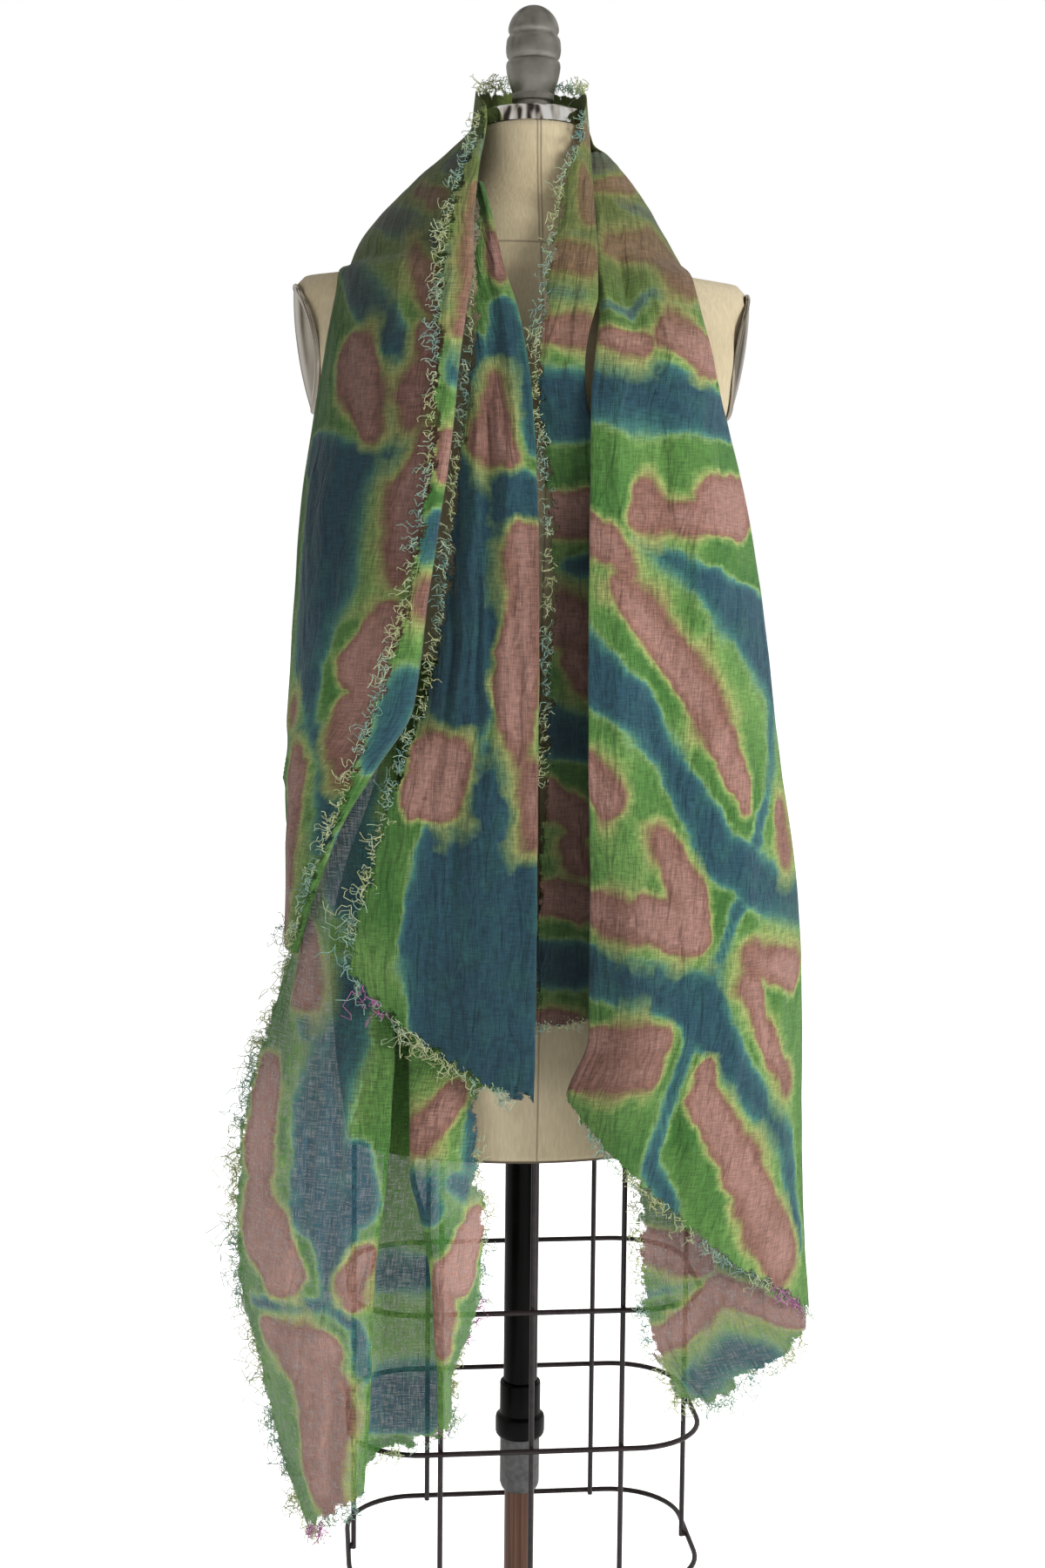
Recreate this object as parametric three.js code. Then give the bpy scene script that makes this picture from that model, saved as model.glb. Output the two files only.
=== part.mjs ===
// A fold-dyed linen shawl, folded in half along its length and hung round the neck of a limbless
// dress form. The form stands on an iron base by a mast that slides in a clamp, and has a wire cage
// below it. Millimetres, +Z up, the front faces -Y. Left and right are as seen from the front.
import * as THREE from 'three';

// ---------------------------------------------------------------- driving sizes
const layer = 1.6; // wall of one layer of linen
const doubled = 3; // wall of the two layers that lie together over the back
const seam = 0.3; // gap between neighbouring pieces
const drapeTurn = -6; // degrees that the hung shawl is turned about the mast
const foldTurn = 5; // depth of a soft turned edge, from layer to layer

const mastRadius = 15;
const mastBore = 13.6;
const lowerTubeRadius = 13.2;
const mastFoot = 402;
const mastTop = 990;
const lowerTubeTop = 700;

const torsoBottom = 673;
const neckTop = 1529.5;
const neckRadius = 43;
const neckCapHeight = 13;
const finialHeight = 88;

const baseRadius = 215;
const baseRim = 12;
const hubRadius = 27;
const hubHeight = 72;

const wireRadius = 2.25;
const cageHalfWidth = 152.5;
const cageHalfDepth = 97;
const cageCorner = 62;
const cageHoops = { top: 542, middle: 421, bottom: 298 };
const cageFrontWire = 77; // sideways distance of the wires either side of the middle

// ---------------------------------------------------------------- materials
const finish = (color, roughness, metalness) =>
  new THREE.MeshStandardMaterial({ color, roughness, metalness });
const greenLinen = finish('#4d7a4a', 0.92, 0);
const blueLinen = finish('#2b5068', 0.92, 0);
const mauveLinen = finish('#8c625d', 0.92, 0);
const looseThread = finish('#b5c795', 0.95, 0);
const creamLinen = finish('#cbb998', 0.9, 0);
const pewter = finish('#77756e', 0.45, 0.9);
const chrome = finish('#d8d8d6', 0.12, 1);
const blackEnamel = finish('#141314', 0.4, 0.3);
const bronzedTube = finish('#5c4034', 0.4, 0.7);
const greyCollar = finish('#5d5d5d', 0.6, 0.4);
const cageEnamel = finish('#1d1014', 0.5, 0.3);
const castIron = finish('#19181a', 0.6, 0.4);

// ---------------------------------------------------------------- general makers
const object = new THREE.Group();
const form = new THREE.Group();
const shawl = new THREE.Group();
shawl.rotation.z = THREE.MathUtils.degToRad(drapeTurn);
object.add(form, shawl);

function addNode(parent, name, geometry, material) {
  const mesh = new THREE.Mesh(geometry, material);
  mesh.name = name;
  parent.add(mesh);
  return mesh;
}

// Smooth reading of one column of a table whose rows fall in z. It never passes beyond the values
// of the two rows around it.
function read(table, column, z) {
  let row = 0;
  while (row < table.length - 2 && z < table[row + 1].z) row += 1;
  const steepness = (k) => (table[k + 1][column] - table[k][column]) / (table[k + 1].z - table[k].z);
  const slope = (k) => {
    const above = steepness(Math.max(k - 1, 0));
    const below = steepness(Math.min(k, table.length - 2));
    return above * below > 0 ? (2 * above * below) / (above + below) : 0;
  };
  const high = table[row];
  const low = table[row + 1];
  const span = low.z - high.z;
  const t = THREE.MathUtils.clamp((z - high.z) / span, 0, 1);
  const t2 = t * t;
  const t3 = t2 * t;
  return (2 * t3 - 3 * t2 + 1) * high[column] + (t3 - 2 * t2 + t) * span * slope(row)
    + (3 * t2 - 2 * t3) * low[column] + (t3 - t2) * span * slope(row + 1);
}

// Straight reading of a short list at a place counted in its steps.
function along(list, place) {
  const k = Math.min(Math.floor(place), list.length - 2);
  return THREE.MathUtils.lerp(list[k], list[k + 1], place - k);
}

// One closed body from points and triangles, turned so that its faces point outwards.
function bodyFrom(points, faces) {
  let volume = 0;
  for (const [a, b, c] of faces) {
    volume += points[a].dot(new THREE.Vector3().crossVectors(points[b], points[c]));
  }
  const index = faces.flatMap(([a, b, c]) => (volume > 0 ? [a, b, c] : [a, c, b]));
  const geometry = new THREE.BufferGeometry();
  const numbers = points.flatMap((p) => p.toArray());
  geometry.setAttribute('position', new THREE.Float32BufferAttribute(numbers, 3));
  geometry.setIndex(index);
  geometry.computeVertexNormals();
  return geometry;
}

// A closed body through a stack of rings that have the same number of points.
function stackRings(rings) {
  const count = rings[0].length;
  const points = rings.flat();
  const faces = [];
  for (let r = 0; r < rings.length - 1; r += 1) {
    for (let k = 0; k < count; k += 1) {
      const a = r * count + k;
      const b = r * count + ((k + 1) % count);
      faces.push([a, b, b + count], [a, b + count, a + count]);
    }
  }
  for (const [start, first] of [[0, true], [(rings.length - 1) * count, false]]) {
    const middle = points.length;
    const sum = points.slice(start, start + count).reduce((s, p) => s.add(p), new THREE.Vector3());
    points.push(sum.divideScalar(count));
    for (let k = 0; k < count; k += 1) {
      const edge = [start + k, start + ((k + 1) % count)];
      faces.push(first ? [edge[1], edge[0], middle] : [edge[0], edge[1], middle]);
    }
  }
  return bodyFrom(points, faces);
}

// A turned body: the profile runs from the axis back to the axis as [radius, height] pairs.
function turned(profile, sides) {
  const inner = profile.slice(1, -1);
  const rings = inner.map(([radius, z]) => Array.from({ length: sides }, (unused, k) => {
    const angle = (2 * Math.PI * k) / sides;
    return new THREE.Vector3(radius * Math.cos(angle), radius * Math.sin(angle), z);
  }));
  const points = rings.flat();
  const faces = [];
  for (let r = 0; r < rings.length - 1; r += 1) {
    for (let k = 0; k < sides; k += 1) {
      const a = r * sides + k;
      const b = r * sides + ((k + 1) % sides);
      faces.push([a, b, b + sides], [a, b + sides, a + sides]);
    }
  }
  const poles = [[0, profile[0][1], true], [(rings.length - 1) * sides, profile.at(-1)[1], false]];
  for (const [start, z, first] of poles) {
    const pole = points.length;
    points.push(new THREE.Vector3(0, 0, z));
    for (let k = 0; k < sides; k += 1) {
      const a = start + k;
      const b = start + ((k + 1) % sides);
      faces.push(first ? [b, a, pole] : [a, b, pole]);
    }
  }
  return bodyFrom(points, faces);
}

// A turned sleeve: the profile closes on itself and stays off the axis.
function turnedSleeve(profile, sides) {
  const points = [];
  const faces = [];
  const count = profile.length;
  for (let k = 0; k < sides; k += 1) {
    const angle = (2 * Math.PI * k) / sides;
    for (const [radius, z] of profile) {
      points.push(new THREE.Vector3(radius * Math.cos(angle), radius * Math.sin(angle), z));
    }
    const next = ((k + 1) % sides) * count;
    for (let p = 0; p < count; p += 1) {
      const q = (p + 1) % count;
      faces.push([k * count + p, k * count + q, next + q], [k * count + p, next + q, next + p]);
    }
  }
  return bodyFrom(points, faces);
}

// ---------------------------------------------------------------- the stand
const tubeSides = 24;

// The base casting: a round foot that rises to a hub with a blind socket for the lower tube.
const socketFloor = 12;
addNode(form, 'base_plate', turned([
  [0, 0], [baseRadius - 4, 0], [baseRadius, 4], [baseRadius - 2, baseRim], [120, 20], [60, 30],
  [hubRadius + 5, 42], [hubRadius, 54], [hubRadius, hubHeight], [mastBore, hubHeight],
  [mastBore, socketFloor], [0, socketFloor],
], 32), castIron);

addNode(form, 'lower_tube', turned([
  [0, socketFloor + seam], [lowerTubeRadius, socketFloor + seam],
  [lowerTubeRadius, lowerTubeTop], [0, lowerTubeTop],
], tubeSides), bronzedTube);

addNode(form, 'mast', turned([
  [0, mastTop - 8], [mastBore, mastTop - 8], [mastBore, mastFoot], [mastRadius, mastFoot],
  [mastRadius, mastTop], [0, mastTop],
], tubeSides), blackEnamel);

// The clamp at the mast's foot: a black collar with a flange, over a grey sleeve.
const flangeBottom = 397;
const flangeTop = 416;
const collarTop = 446;
const sleeveBottom = 347;
addNode(form, 'clamp_collar', turnedSleeve([
  [mastRadius + 0.35, flangeBottom], [20.6, flangeBottom], [21.8, flangeBottom + 3],
  [21.8, flangeTop - 3], [18, flangeTop], [18, collarTop - 1], [17, collarTop],
  [mastRadius + 0.35, collarTop],
], tubeSides), blackEnamel);
addNode(form, 'clamp_sleeve', turnedSleeve([
  [mastBore, sleeveBottom + 3], [mastBore, flangeBottom - seam], [17.5, flangeBottom - seam],
  [17.5, sleeveBottom + 6], [15, sleeveBottom],
], tubeSides), greyCollar);

// ---------------------------------------------------------------- the dress form
// Half widths and depths of the body at each height. flat is how far out the armhole cut lets it
// reach, and lean how far its middle stands to the right of the mast.
const shoulderLean = -7; // the shoulders stand a little to the left of the neck and hips
const torsoRows = [
  { z: neckTop, width: 43, front: 43, back: 43, flat: 300, lean: 0 },
  { z: 1498, width: 49, front: 47, back: 49, flat: 300, lean: -1 },
  { z: 1477, width: 60, front: 52, back: 58, flat: 300, lean: -2 },
  { z: 1454, width: 80, front: 62, back: 70, flat: 300, lean: -4 },
  { z: 1437, width: 100, front: 68, back: 75, flat: 300, lean: -6 },
  { z: 1422, width: 112, front: 71, back: 76, flat: 300, lean: shoulderLean },
  { z: 1410, width: 133, front: 74, back: 77, flat: 300, lean: shoulderLean },
  { z: 1402, width: 190, front: 73, back: 75, flat: 190, lean: shoulderLean },
  { z: 1385, width: 202, front: 82, back: 80, flat: 187.5, lean: shoulderLean },
  { z: 1345, width: 204, front: 98, back: 92, flat: 181.5, lean: shoulderLean },
  { z: 1300, width: 190, front: 112, back: 102, flat: 175, lean: shoulderLean },
  { z: 1240, width: 160, front: 121, back: 105, flat: 300, lean: -6 },
  { z: 1180, width: 148, front: 114, back: 100, flat: 300, lean: -4 },
  { z: 1110, width: 128, front: 101, back: 93, flat: 300, lean: -2 },
  { z: 1040, width: 119, front: 92, back: 90, flat: 300, lean: 0 },
  { z: 980, width: 131, front: 97, back: 99, flat: 300, lean: 0 },
  { z: 900, width: 158, front: 109, back: 113, flat: 300, lean: 0 },
  { z: 840, width: 169, front: 115, back: 117, flat: 300, lean: 0 },
  { z: 760, width: 165, front: 113, back: 111, flat: 300, lean: 0 },
  { z: torsoBottom, width: 154, front: 107, back: 102, flat: 300, lean: 0 },
];
const torsoSides = 32;

function torsoRing(row) {
  return Array.from({ length: torsoSides }, (unused, k) => {
    const angle = (2 * Math.PI * k) / torsoSides;
    const depth = Math.sin(angle) < 0 ? row.front : row.back;
    const x = THREE.MathUtils.clamp(row.width * Math.cos(angle), -row.flat, row.flat);
    return new THREE.Vector3(row.lean + x, depth * Math.sin(angle), row.z);
  });
}

function boreRing(radius, z) {
  return torsoRing({ z, width: radius, front: radius, back: radius, flat: radius, lean: 0 });
}

const torsoBore = mastRadius + 0.4;
addNode(form, 'torso', stackRings([
  ...torsoRows.map(torsoRing),
  boreRing(torsoBore, torsoBottom),
  boreRing(torsoBore, mastTop + seam),
]), creamLinen);

// The polished band that caps the neck, and the turned finial on it.
const capRadius = neckRadius + 0.6;
const capBottom = neckTop + seam;
const capTop = capBottom + neckCapHeight;
addNode(form, 'neck_cap', turned([
  [0, capBottom], [capRadius, capBottom], [capRadius, capTop - 1], [capRadius - 1, capTop],
  [0, capTop],
], 32), chrome);

const finialProfile = [
  [0, 0], [15.5, 0], [15, 9], [17.5, 10], [17.5, 15], [17, 16], [20.5, 26], [22.8, 36],
  [22.5, 41], [20.6, 43.5], [22.4, 47], [23, 54], [22.4, 60], [20, 64], [21.2, 69],
  [19.2, 76], [14, 83], [7, 87], [0, finialHeight],
];
const finialFoot = capTop + seam;
const finialPoints = finialProfile.map(([radius, z]) => [radius, finialFoot + z]);
addNode(form, 'finial', turned(finialPoints, tubeSides), pewter);

// Polished oval plates that close the armholes, leaning in at their lower ends.
const plateHalfHeight = 57;
const plateHalfDepth = 47;
const plateMiddle = 1346;
const plateLean = Math.atan2(17, 117);
const plateDistance = 182.2; // from the middle of the shoulders
for (const [side, name] of [[-1, 'arm_plate_left'], [1, 'arm_plate_right']]) {
  const plate = addNode(form, name, turned([
    [0, 0], [1, 0], [1, 1.6], [0.93, 3.6], [0.82, 4.2], [0.45, 6.4], [0, 7.2],
  ], tubeSides), chrome);
  plate.geometry.scale(plateHalfHeight, plateHalfDepth, 1);
  plate.geometry.rotateY(Math.PI / 2);
  if (side < 0) plate.geometry.rotateZ(Math.PI);
  plate.rotation.y = side * plateLean;
  plate.position.set(shoulderLean + side * plateDistance, 0, plateMiddle);
}

// ---------------------------------------------------------------- the cage
// A hoop of wire bent to a rounded rectangle in plan.
function hoop(z) {
  const wireSides = 6;
  const straightX = cageHalfWidth - cageCorner;
  const straightY = cageHalfDepth - cageCorner;
  const cornerSteps = 5;
  const route = [];
  for (let corner = 0; corner < 4; corner += 1) {
    const signX = corner === 0 || corner === 3 ? 1 : -1;
    const signY = corner < 2 ? 1 : -1;
    for (let k = 0; k <= cornerSteps; k += 1) {
      const angle = (Math.PI / 2) * (corner + k / cornerSteps);
      route.push({
        x: signX * straightX + cageCorner * Math.cos(angle),
        y: signY * straightY + cageCorner * Math.sin(angle),
        angle,
      });
    }
  }
  const points = [];
  const faces = [];
  route.forEach(({ x, y, angle }, r) => {
    const next = ((r + 1) % route.length) * wireSides;
    for (let k = 0; k < wireSides; k += 1) {
      const around = (2 * Math.PI * k) / wireSides;
      const out = wireRadius * Math.cos(around);
      const up = wireRadius * Math.sin(around);
      points.push(new THREE.Vector3(x + out * Math.cos(angle), y + out * Math.sin(angle), z + up));
      const a = r * wireSides + k;
      const b = r * wireSides + ((k + 1) % wireSides);
      const c = next + k;
      const d = next + ((k + 1) % wireSides);
      faces.push([a, b, d], [a, d, c]);
    }
  });
  return bodyFrom(points, faces);
}
for (const [name, z] of Object.entries(cageHoops)) {
  addNode(form, `cage_hoop_${name}`, hoop(z), cageEnamel);
}

// The upright wires stand just inside the hoops and end under the body.
const wireInset = 2 * wireRadius + seam;
const sideWire = cageHalfWidth - wireInset;
const faceWire = cageHalfDepth - wireInset;
const uprights = [
  ['front', 0, -faceWire], ['front_left', -cageFrontWire, -faceWire],
  ['front_right', cageFrontWire, -faceWire], ['left', -sideWire, 0], ['right', sideWire, 0],
  ['back_left', -cageFrontWire, faceWire], ['back_right', cageFrontWire, faceWire],
  ['back', 0, faceWire],
];
const uprightBottom = cageHoops.bottom - wireRadius;
const uprightTop = torsoBottom - seam;
for (const [name, x, y] of uprights) {
  const upright = turned([
    [0, uprightBottom], [wireRadius, uprightBottom], [wireRadius, uprightTop], [0, uprightTop],
  ], 8);
  upright.translate(x, y, 0);
  addNode(form, `cage_wire_${name}`, upright, cageEnamel);
}

// ---------------------------------------------------------------- cloth makers
// A closed wall of the given thickness about a grid of points.
function wallOf(grid, thickness) {
  const rows = grid.length;
  const columns = grid[0].length;
  const within = (k, count) => THREE.MathUtils.clamp(k, 0, count - 1);
  const place = (r, c) => grid[within(r, rows)][within(c, columns)];
  const points = [];
  for (const side of [1, -1]) {
    for (let r = 0; r < rows; r += 1) {
      for (let c = 0; c < columns; c += 1) {
        const across = place(r, c + 1).clone().sub(place(r, c - 1));
        const down = place(r + 1, c).clone().sub(place(r - 1, c));
        const normal = across.cross(down).normalize();
        points.push(grid[r][c].clone().addScaledVector(normal, (side * thickness) / 2));
      }
    }
  }
  const back = rows * columns;
  const faces = [];
  const patch = (a, b, c, d) => faces.push([a, b, c], [a, c, d]);
  for (let r = 0; r < rows - 1; r += 1) {
    for (let c = 0; c < columns - 1; c += 1) {
      const a = r * columns + c;
      patch(a, a + columns, a + columns + 1, a + 1);
      patch(back + a, back + a + 1, back + a + columns + 1, back + a + columns);
    }
  }
  const rim = [];
  for (let c = 0; c < columns - 1; c += 1) rim.push(c);
  for (let r = 0; r < rows - 1; r += 1) rim.push(r * columns + columns - 1);
  for (let c = columns - 1; c > 0; c -= 1) rim.push((rows - 1) * columns + c);
  for (let r = rows - 1; r > 0; r -= 1) rim.push(r * columns);
  rim.forEach((a, k) => {
    const b = rim[(k + 1) % rim.length];
    patch(a, b, back + b, back + a);
  });
  return bodyFrom(points, faces);
}

// The grid of a stretch of cloth. section(z) gives the plan points that the cloth passes at a
// height, and spans the strips between them. top and hem are its highest and lowest places at each
// of those points, and levels the heights of its lines of points before top and hem tilt them.
function drape({ section, spans, levels, top, hem }) {
  const columns = [];
  spans.forEach((strips, k) => {
    for (let s = 0; s < strips; s += 1) columns.push(k + s / strips);
  });
  columns.push(spans.length);
  const fall = levels[0] - levels.at(-1);
  return levels.map((level) => columns.map((place) => {
    const share = (levels[0] - level) / fall;
    const z = THREE.MathUtils.lerp(along(top, place), along(hem, place), share);
    const course = section(z).map(([x, y]) => new THREE.Vector3(x, y, 0));
    const curve = new THREE.CatmullRomCurve3(course, false, 'centripetal');
    return curve.getPoint(place / spans.length).setZ(z);
  }));
}

const columnOf = (grid, c) => grid.map((row) => row.at(c));

// A narrow strip along an edge of a wall, with locks of loose thread fused to its outer side.
// inner is the wall's next line of points inside the edge, and each step of the edge gets this many
// locks, with a bare stretch after each.
function frayedStrip({ edge, inner, perStep, reach, sag }) {
  const stripWidth = 2.4;
  const stripWall = 1.3;
  const stripGap = 2 * seam;
  const cellsPerStep = 2 * perStep;
  const cells = cellsPerStep * (edge.length - 1) - 1;
  const points = [];
  const faces = [];
  const far = [];
  const outs = [];
  for (let s = 0; s <= cells; s += 1) {
    const place = s / cellsPerStep + (s === 0 ? 0.12 : 0);
    const k = Math.min(Math.floor(place), edge.length - 2);
    const rim = edge[k].clone().lerp(edge[k + 1], place - k);
    const inside = inner[k].clone().lerp(inner[k + 1], place - k);
    const before = edge[Math.max(Math.ceil(place) - 1, 0)];
    const after = edge[Math.min(Math.floor(place) + 1, edge.length - 1)];
    const run = after.clone().sub(before).normalize();
    const out = rim.clone().sub(inside);
    out.addScaledVector(run, -out.dot(run)).normalize();
    const face = new THREE.Vector3().crossVectors(out, run).multiplyScalar(stripWall / 2);
    const near = rim.clone().addScaledVector(out, stripGap);
    const outer = rim.clone().addScaledVector(out, stripGap + stripWidth);
    far.push(outer);
    outs.push(out);
    points.push(near.clone().add(face), near.clone().sub(face));
    points.push(outer.clone().sub(face), outer.clone().add(face));
  }
  for (let s = 0; s < cells; s += 1) {
    for (let side = 0; side < 4; side += 1) {
      const p = 4 * s + side;
      const q = 4 * s + ((side + 1) % 4);
      if (side === 2 && s % 2 === 0) {
        const wander = Math.sin(2.4 * s + edge.length);
        const run = far[s + 1].clone().sub(far[s]).normalize();
        const tip = far[s].clone().add(far[s + 1]).multiplyScalar(0.5);
        tip.addScaledVector(outs[s], reach * (0.78 + 0.22 * wander));
        tip.addScaledVector(run, 0.15 * reach * wander);
        tip.z -= sag * reach;
        const peak = points.push(tip) - 1;
        faces.push([p, q, peak], [q, q + 4, peak], [q + 4, p + 4, peak], [p + 4, p, peak]);
      } else {
        faces.push([p, q, q + 4], [p, q + 4, p + 4]);
      }
    }
  }
  const last = 4 * cells;
  faces.push([0, 2, 1], [0, 3, 2], [last, last + 1, last + 2], [last, last + 2, last + 3]);
  return bodyFrom(points, faces);
}

// ---------------------------------------------------------------- the shawl over the back
// The doubled cloth stands round the nape and lies over the shoulders. Its ridge lines, where it
// passes over the shoulders, are at y = ridgeY; left and right are the ridge's x, back its depth.
const ridgeY = -5;
const backRows = [
  { z: 1578, left: -45, right: 42, back: 56, square: 2 },
  { z: 1556, left: -48, right: 45, back: 56, square: 2 },
  { z: 1530, left: -51, right: 47, back: 58, square: 2 },
  { z: 1518, left: -57, right: 51, back: 61, square: 2 },
  { z: 1508, left: -72, right: 64, back: 64, square: 2 },
  { z: 1490, left: -94, right: 80, back: 74, square: 2 },
  { z: 1467, left: -118, right: 97, back: 88, square: 2.1 },
  { z: 1447, left: -136, right: 109, back: 98, square: 2.2 },
  { z: 1430, left: -147, right: 119, back: 105, square: 2.6 },
  { z: 1414, left: -153, right: 127, back: 110, square: 3 },
  { z: 1395, left: -158, right: 135, back: 117, square: 3 },
  { z: 1320, left: -160, right: 146, back: 128, square: 2.8 },
  { z: 1260, left: -152, right: 142, back: 132, square: 2.5 },
  { z: 1195, left: -142, right: 136, back: 134, square: 2.4 },
];
const backSteps = 8; // plan points from one ridge to the other
const backSkew = 0.13; // how far the back is turned square to the form, to the right per mm
const ridgeLeftZ = 1414.5;
const ridgeRightZ = 1420;

function backSection(z) {
  const left = read(backRows, 'left', z);
  const right = read(backRows, 'right', z);
  const depth = read(backRows, 'back', z) - ridgeY;
  const power = 2 / read(backRows, 'square', z);
  return Array.from({ length: backSteps + 1 }, (unused, k) => {
    const angle = Math.PI * (1 - k / backSteps);
    const side = Math.sign(Math.cos(angle)) * Math.abs(Math.cos(angle)) ** power;
    const x = (left + right) / 2 + ((right - left) / 2) * side;
    const behind = (depth + backSkew * x) * Math.abs(Math.sin(angle)) ** power;
    return [x, ridgeY + 2 * seam + behind];
  });
}

const backGrid = drape({
  section: backSection,
  spans: [2, 2, 3, 3, 3, 3, 2, 2],
  levels: [1576, 1553, 1530, 1508, 1488, 1466, 1446, 1428, 1412, 1385, 1340, 1290, 1245, 1204],
  top: [1561, 1566, 1573, 1577, 1574, 1576, 1572, 1566, 1560],
  hem: [ridgeLeftZ, 1402, 1322, 1240, 1204, 1238, 1324, 1405, ridgeRightZ],
});
addNode(shawl, 'shawl_back', wallOf(backGrid, doubled), greenLinen);

// ---------------------------------------------------------------- the left end
// Its front layer: from the shoulder ridge, or the long fold below it, to a lapel that turns back
// over it. The lapel's loose edge is one long edge of the shawl.
const leftFrontRows = [
  { z: 1560, sideX: -48, sideY: -5, foldX: -41, foldY: -33, edgeX: -46, edgeY: -31 },
  { z: 1530, sideX: -51, sideY: -5, foldX: -38, foldY: -39, edgeX: -45, edgeY: -41 },
  { z: 1508, sideX: -72, sideY: -5, foldX: -40, foldY: -52, edgeX: -48, edgeY: -55 },
  { z: 1490, sideX: -94, sideY: -5, foldX: -43, foldY: -66, edgeX: -55, edgeY: -71 },
  { z: 1467, sideX: -118, sideY: -5, foldX: -45, foldY: -84, edgeX: -62, edgeY: -88 },
  { z: 1447, sideX: -136, sideY: -5, foldX: -46, foldY: -98, edgeX: -67, edgeY: -101 },
  { z: 1430, sideX: -147, sideY: -5, foldX: -46, foldY: -108, edgeX: -70, edgeY: -111 },
  { z: 1415, sideX: -153, sideY: -8, foldX: -46, foldY: -116, edgeX: -72, edgeY: -119 },
  { z: 1409, sideX: -155, sideY: -46, foldX: -46, foldY: -118, edgeX: -73, edgeY: -121 },
  { z: 1402, sideX: -157, sideY: -66, foldX: -46, foldY: -121, edgeX: -74, edgeY: -124 },
  { z: 1390, sideX: -158, sideY: -71, foldX: -47, foldY: -125, edgeX: -74, edgeY: -128 },
  { z: 1365, sideX: -162, sideY: -75, foldX: -51, foldY: -132, edgeX: -75, edgeY: -135 },
  { z: 1320, sideX: -170, sideY: -77, foldX: -56, foldY: -142, edgeX: -76, edgeY: -145 },
  { z: 1255, sideX: -181, sideY: -76, foldX: -62, foldY: -148, edgeX: -77, edgeY: -152 },
  { z: 1200, sideX: -188, sideY: -75, foldX: -70, foldY: -150, edgeX: -86, edgeY: -155 },
  { z: 1130, sideX: -193, sideY: -71, foldX: -80, foldY: -151, edgeX: -99, edgeY: -156 },
  { z: 1054, sideX: -198, sideY: -68, foldX: -90, foldY: -150, edgeX: -122, edgeY: -153 },
  { z: 1000, sideX: -201, sideY: -66, foldX: -122, foldY: -144, edgeX: -140, edgeY: -147 },
  { z: 960, sideX: -201, sideY: -65, foldX: -146, foldY: -136, edgeX: -155, edgeY: -140 },
  { z: 900, sideX: -201, sideY: -64, foldX: -170, foldY: -119, edgeX: -178, edgeY: -123 },
  { z: 848, sideX: -202, sideY: -65, foldX: -186, foldY: -104, edgeX: -193, edgeY: -107 },
];

function leftFrontSection(z) {
  const sideX = read(leftFrontRows, 'sideX', z);
  const sideY = read(leftFrontRows, 'sideY', z);
  const foldX = read(leftFrontRows, 'foldX', z);
  const foldY = read(leftFrontRows, 'foldY', z);
  const edgeX = read(leftFrontRows, 'edgeX', z);
  const edgeY = read(leftFrontRows, 'edgeY', z);
  const width = foldX - sideX;
  const depth = foldY - sideY;
  return [
    [sideX, sideY],
    [sideX + 0.16 * width, sideY + 0.46 * depth],
    [sideX + 0.5 * width, sideY + 0.83 * depth],
    [foldX - 0.14 * width, foldY + 1],
    [foldX, foldY],
    [foldX + 0.2 * (edgeX - foldX), edgeY - 1.5],
    [edgeX, edgeY],
  ];
}

const leftFrontGrid = drape({
  section: leftFrontSection,
  spans: [2, 3, 3, 1, 1, 2],
  levels: [1558, 1532, 1510, 1488, 1466, 1446, 1430, 1415, 1405, 1394, 1375, 1335, 1285, 1230, 1165,
    1100, 1050, 1005, 965, 905, 848],
  top: [1560, 1556, 1550, 1546, 1542, 1541, 1540],
  hem: [850, 849, 848, 848, 848, 848, 848],
});
addNode(shawl, 'shawl_left_front', wallOf(leftFrontGrid, layer), greenLinen);

// Its middle panel: the inner layer, turned back from a fold near the middle. Its left side is the
// other long edge of the shawl, and its foot a part of the short end.
const leftCentreRows = [
  { z: 1480, edgeX: -50, edgeY: -54, foldX: -41, foldY: -59, ripple: 0 },
  { z: 1446, edgeX: -45, edgeY: -79, foldX: -32, foldY: -84, ripple: 0 },
  { z: 1400, edgeX: -46, edgeY: -103, foldX: -21, foldY: -106, ripple: 0.5 },
  { z: 1358, edgeX: -47, edgeY: -117, foldX: -8, foldY: -121, ripple: 1 },
  { z: 1300, edgeX: -51, edgeY: -129, foldX: 1, foldY: -134, ripple: 2 },
  { z: 1240, edgeX: -58, edgeY: -134, foldX: 5, foldY: -141, ripple: 3 },
  { z: 1150, edgeX: -67, edgeY: -137, foldX: 8, foldY: -143, ripple: 3 },
  { z: 1060, edgeX: -82, edgeY: -138, foldX: 9, foldY: -144, ripple: 3 },
  { z: 1002, edgeX: -103, edgeY: -140, foldX: 9, foldY: -145, ripple: 3 },
  { z: 936, edgeX: -122, edgeY: -143, foldX: 9, foldY: -146, ripple: 3 },
  { z: 864, edgeX: -140, edgeY: -142, foldX: 9, foldY: -147, ripple: 2.5 },
  { z: 733, edgeX: -152, edgeY: -140, foldX: 8, foldY: -148, ripple: 2 },
];

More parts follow.
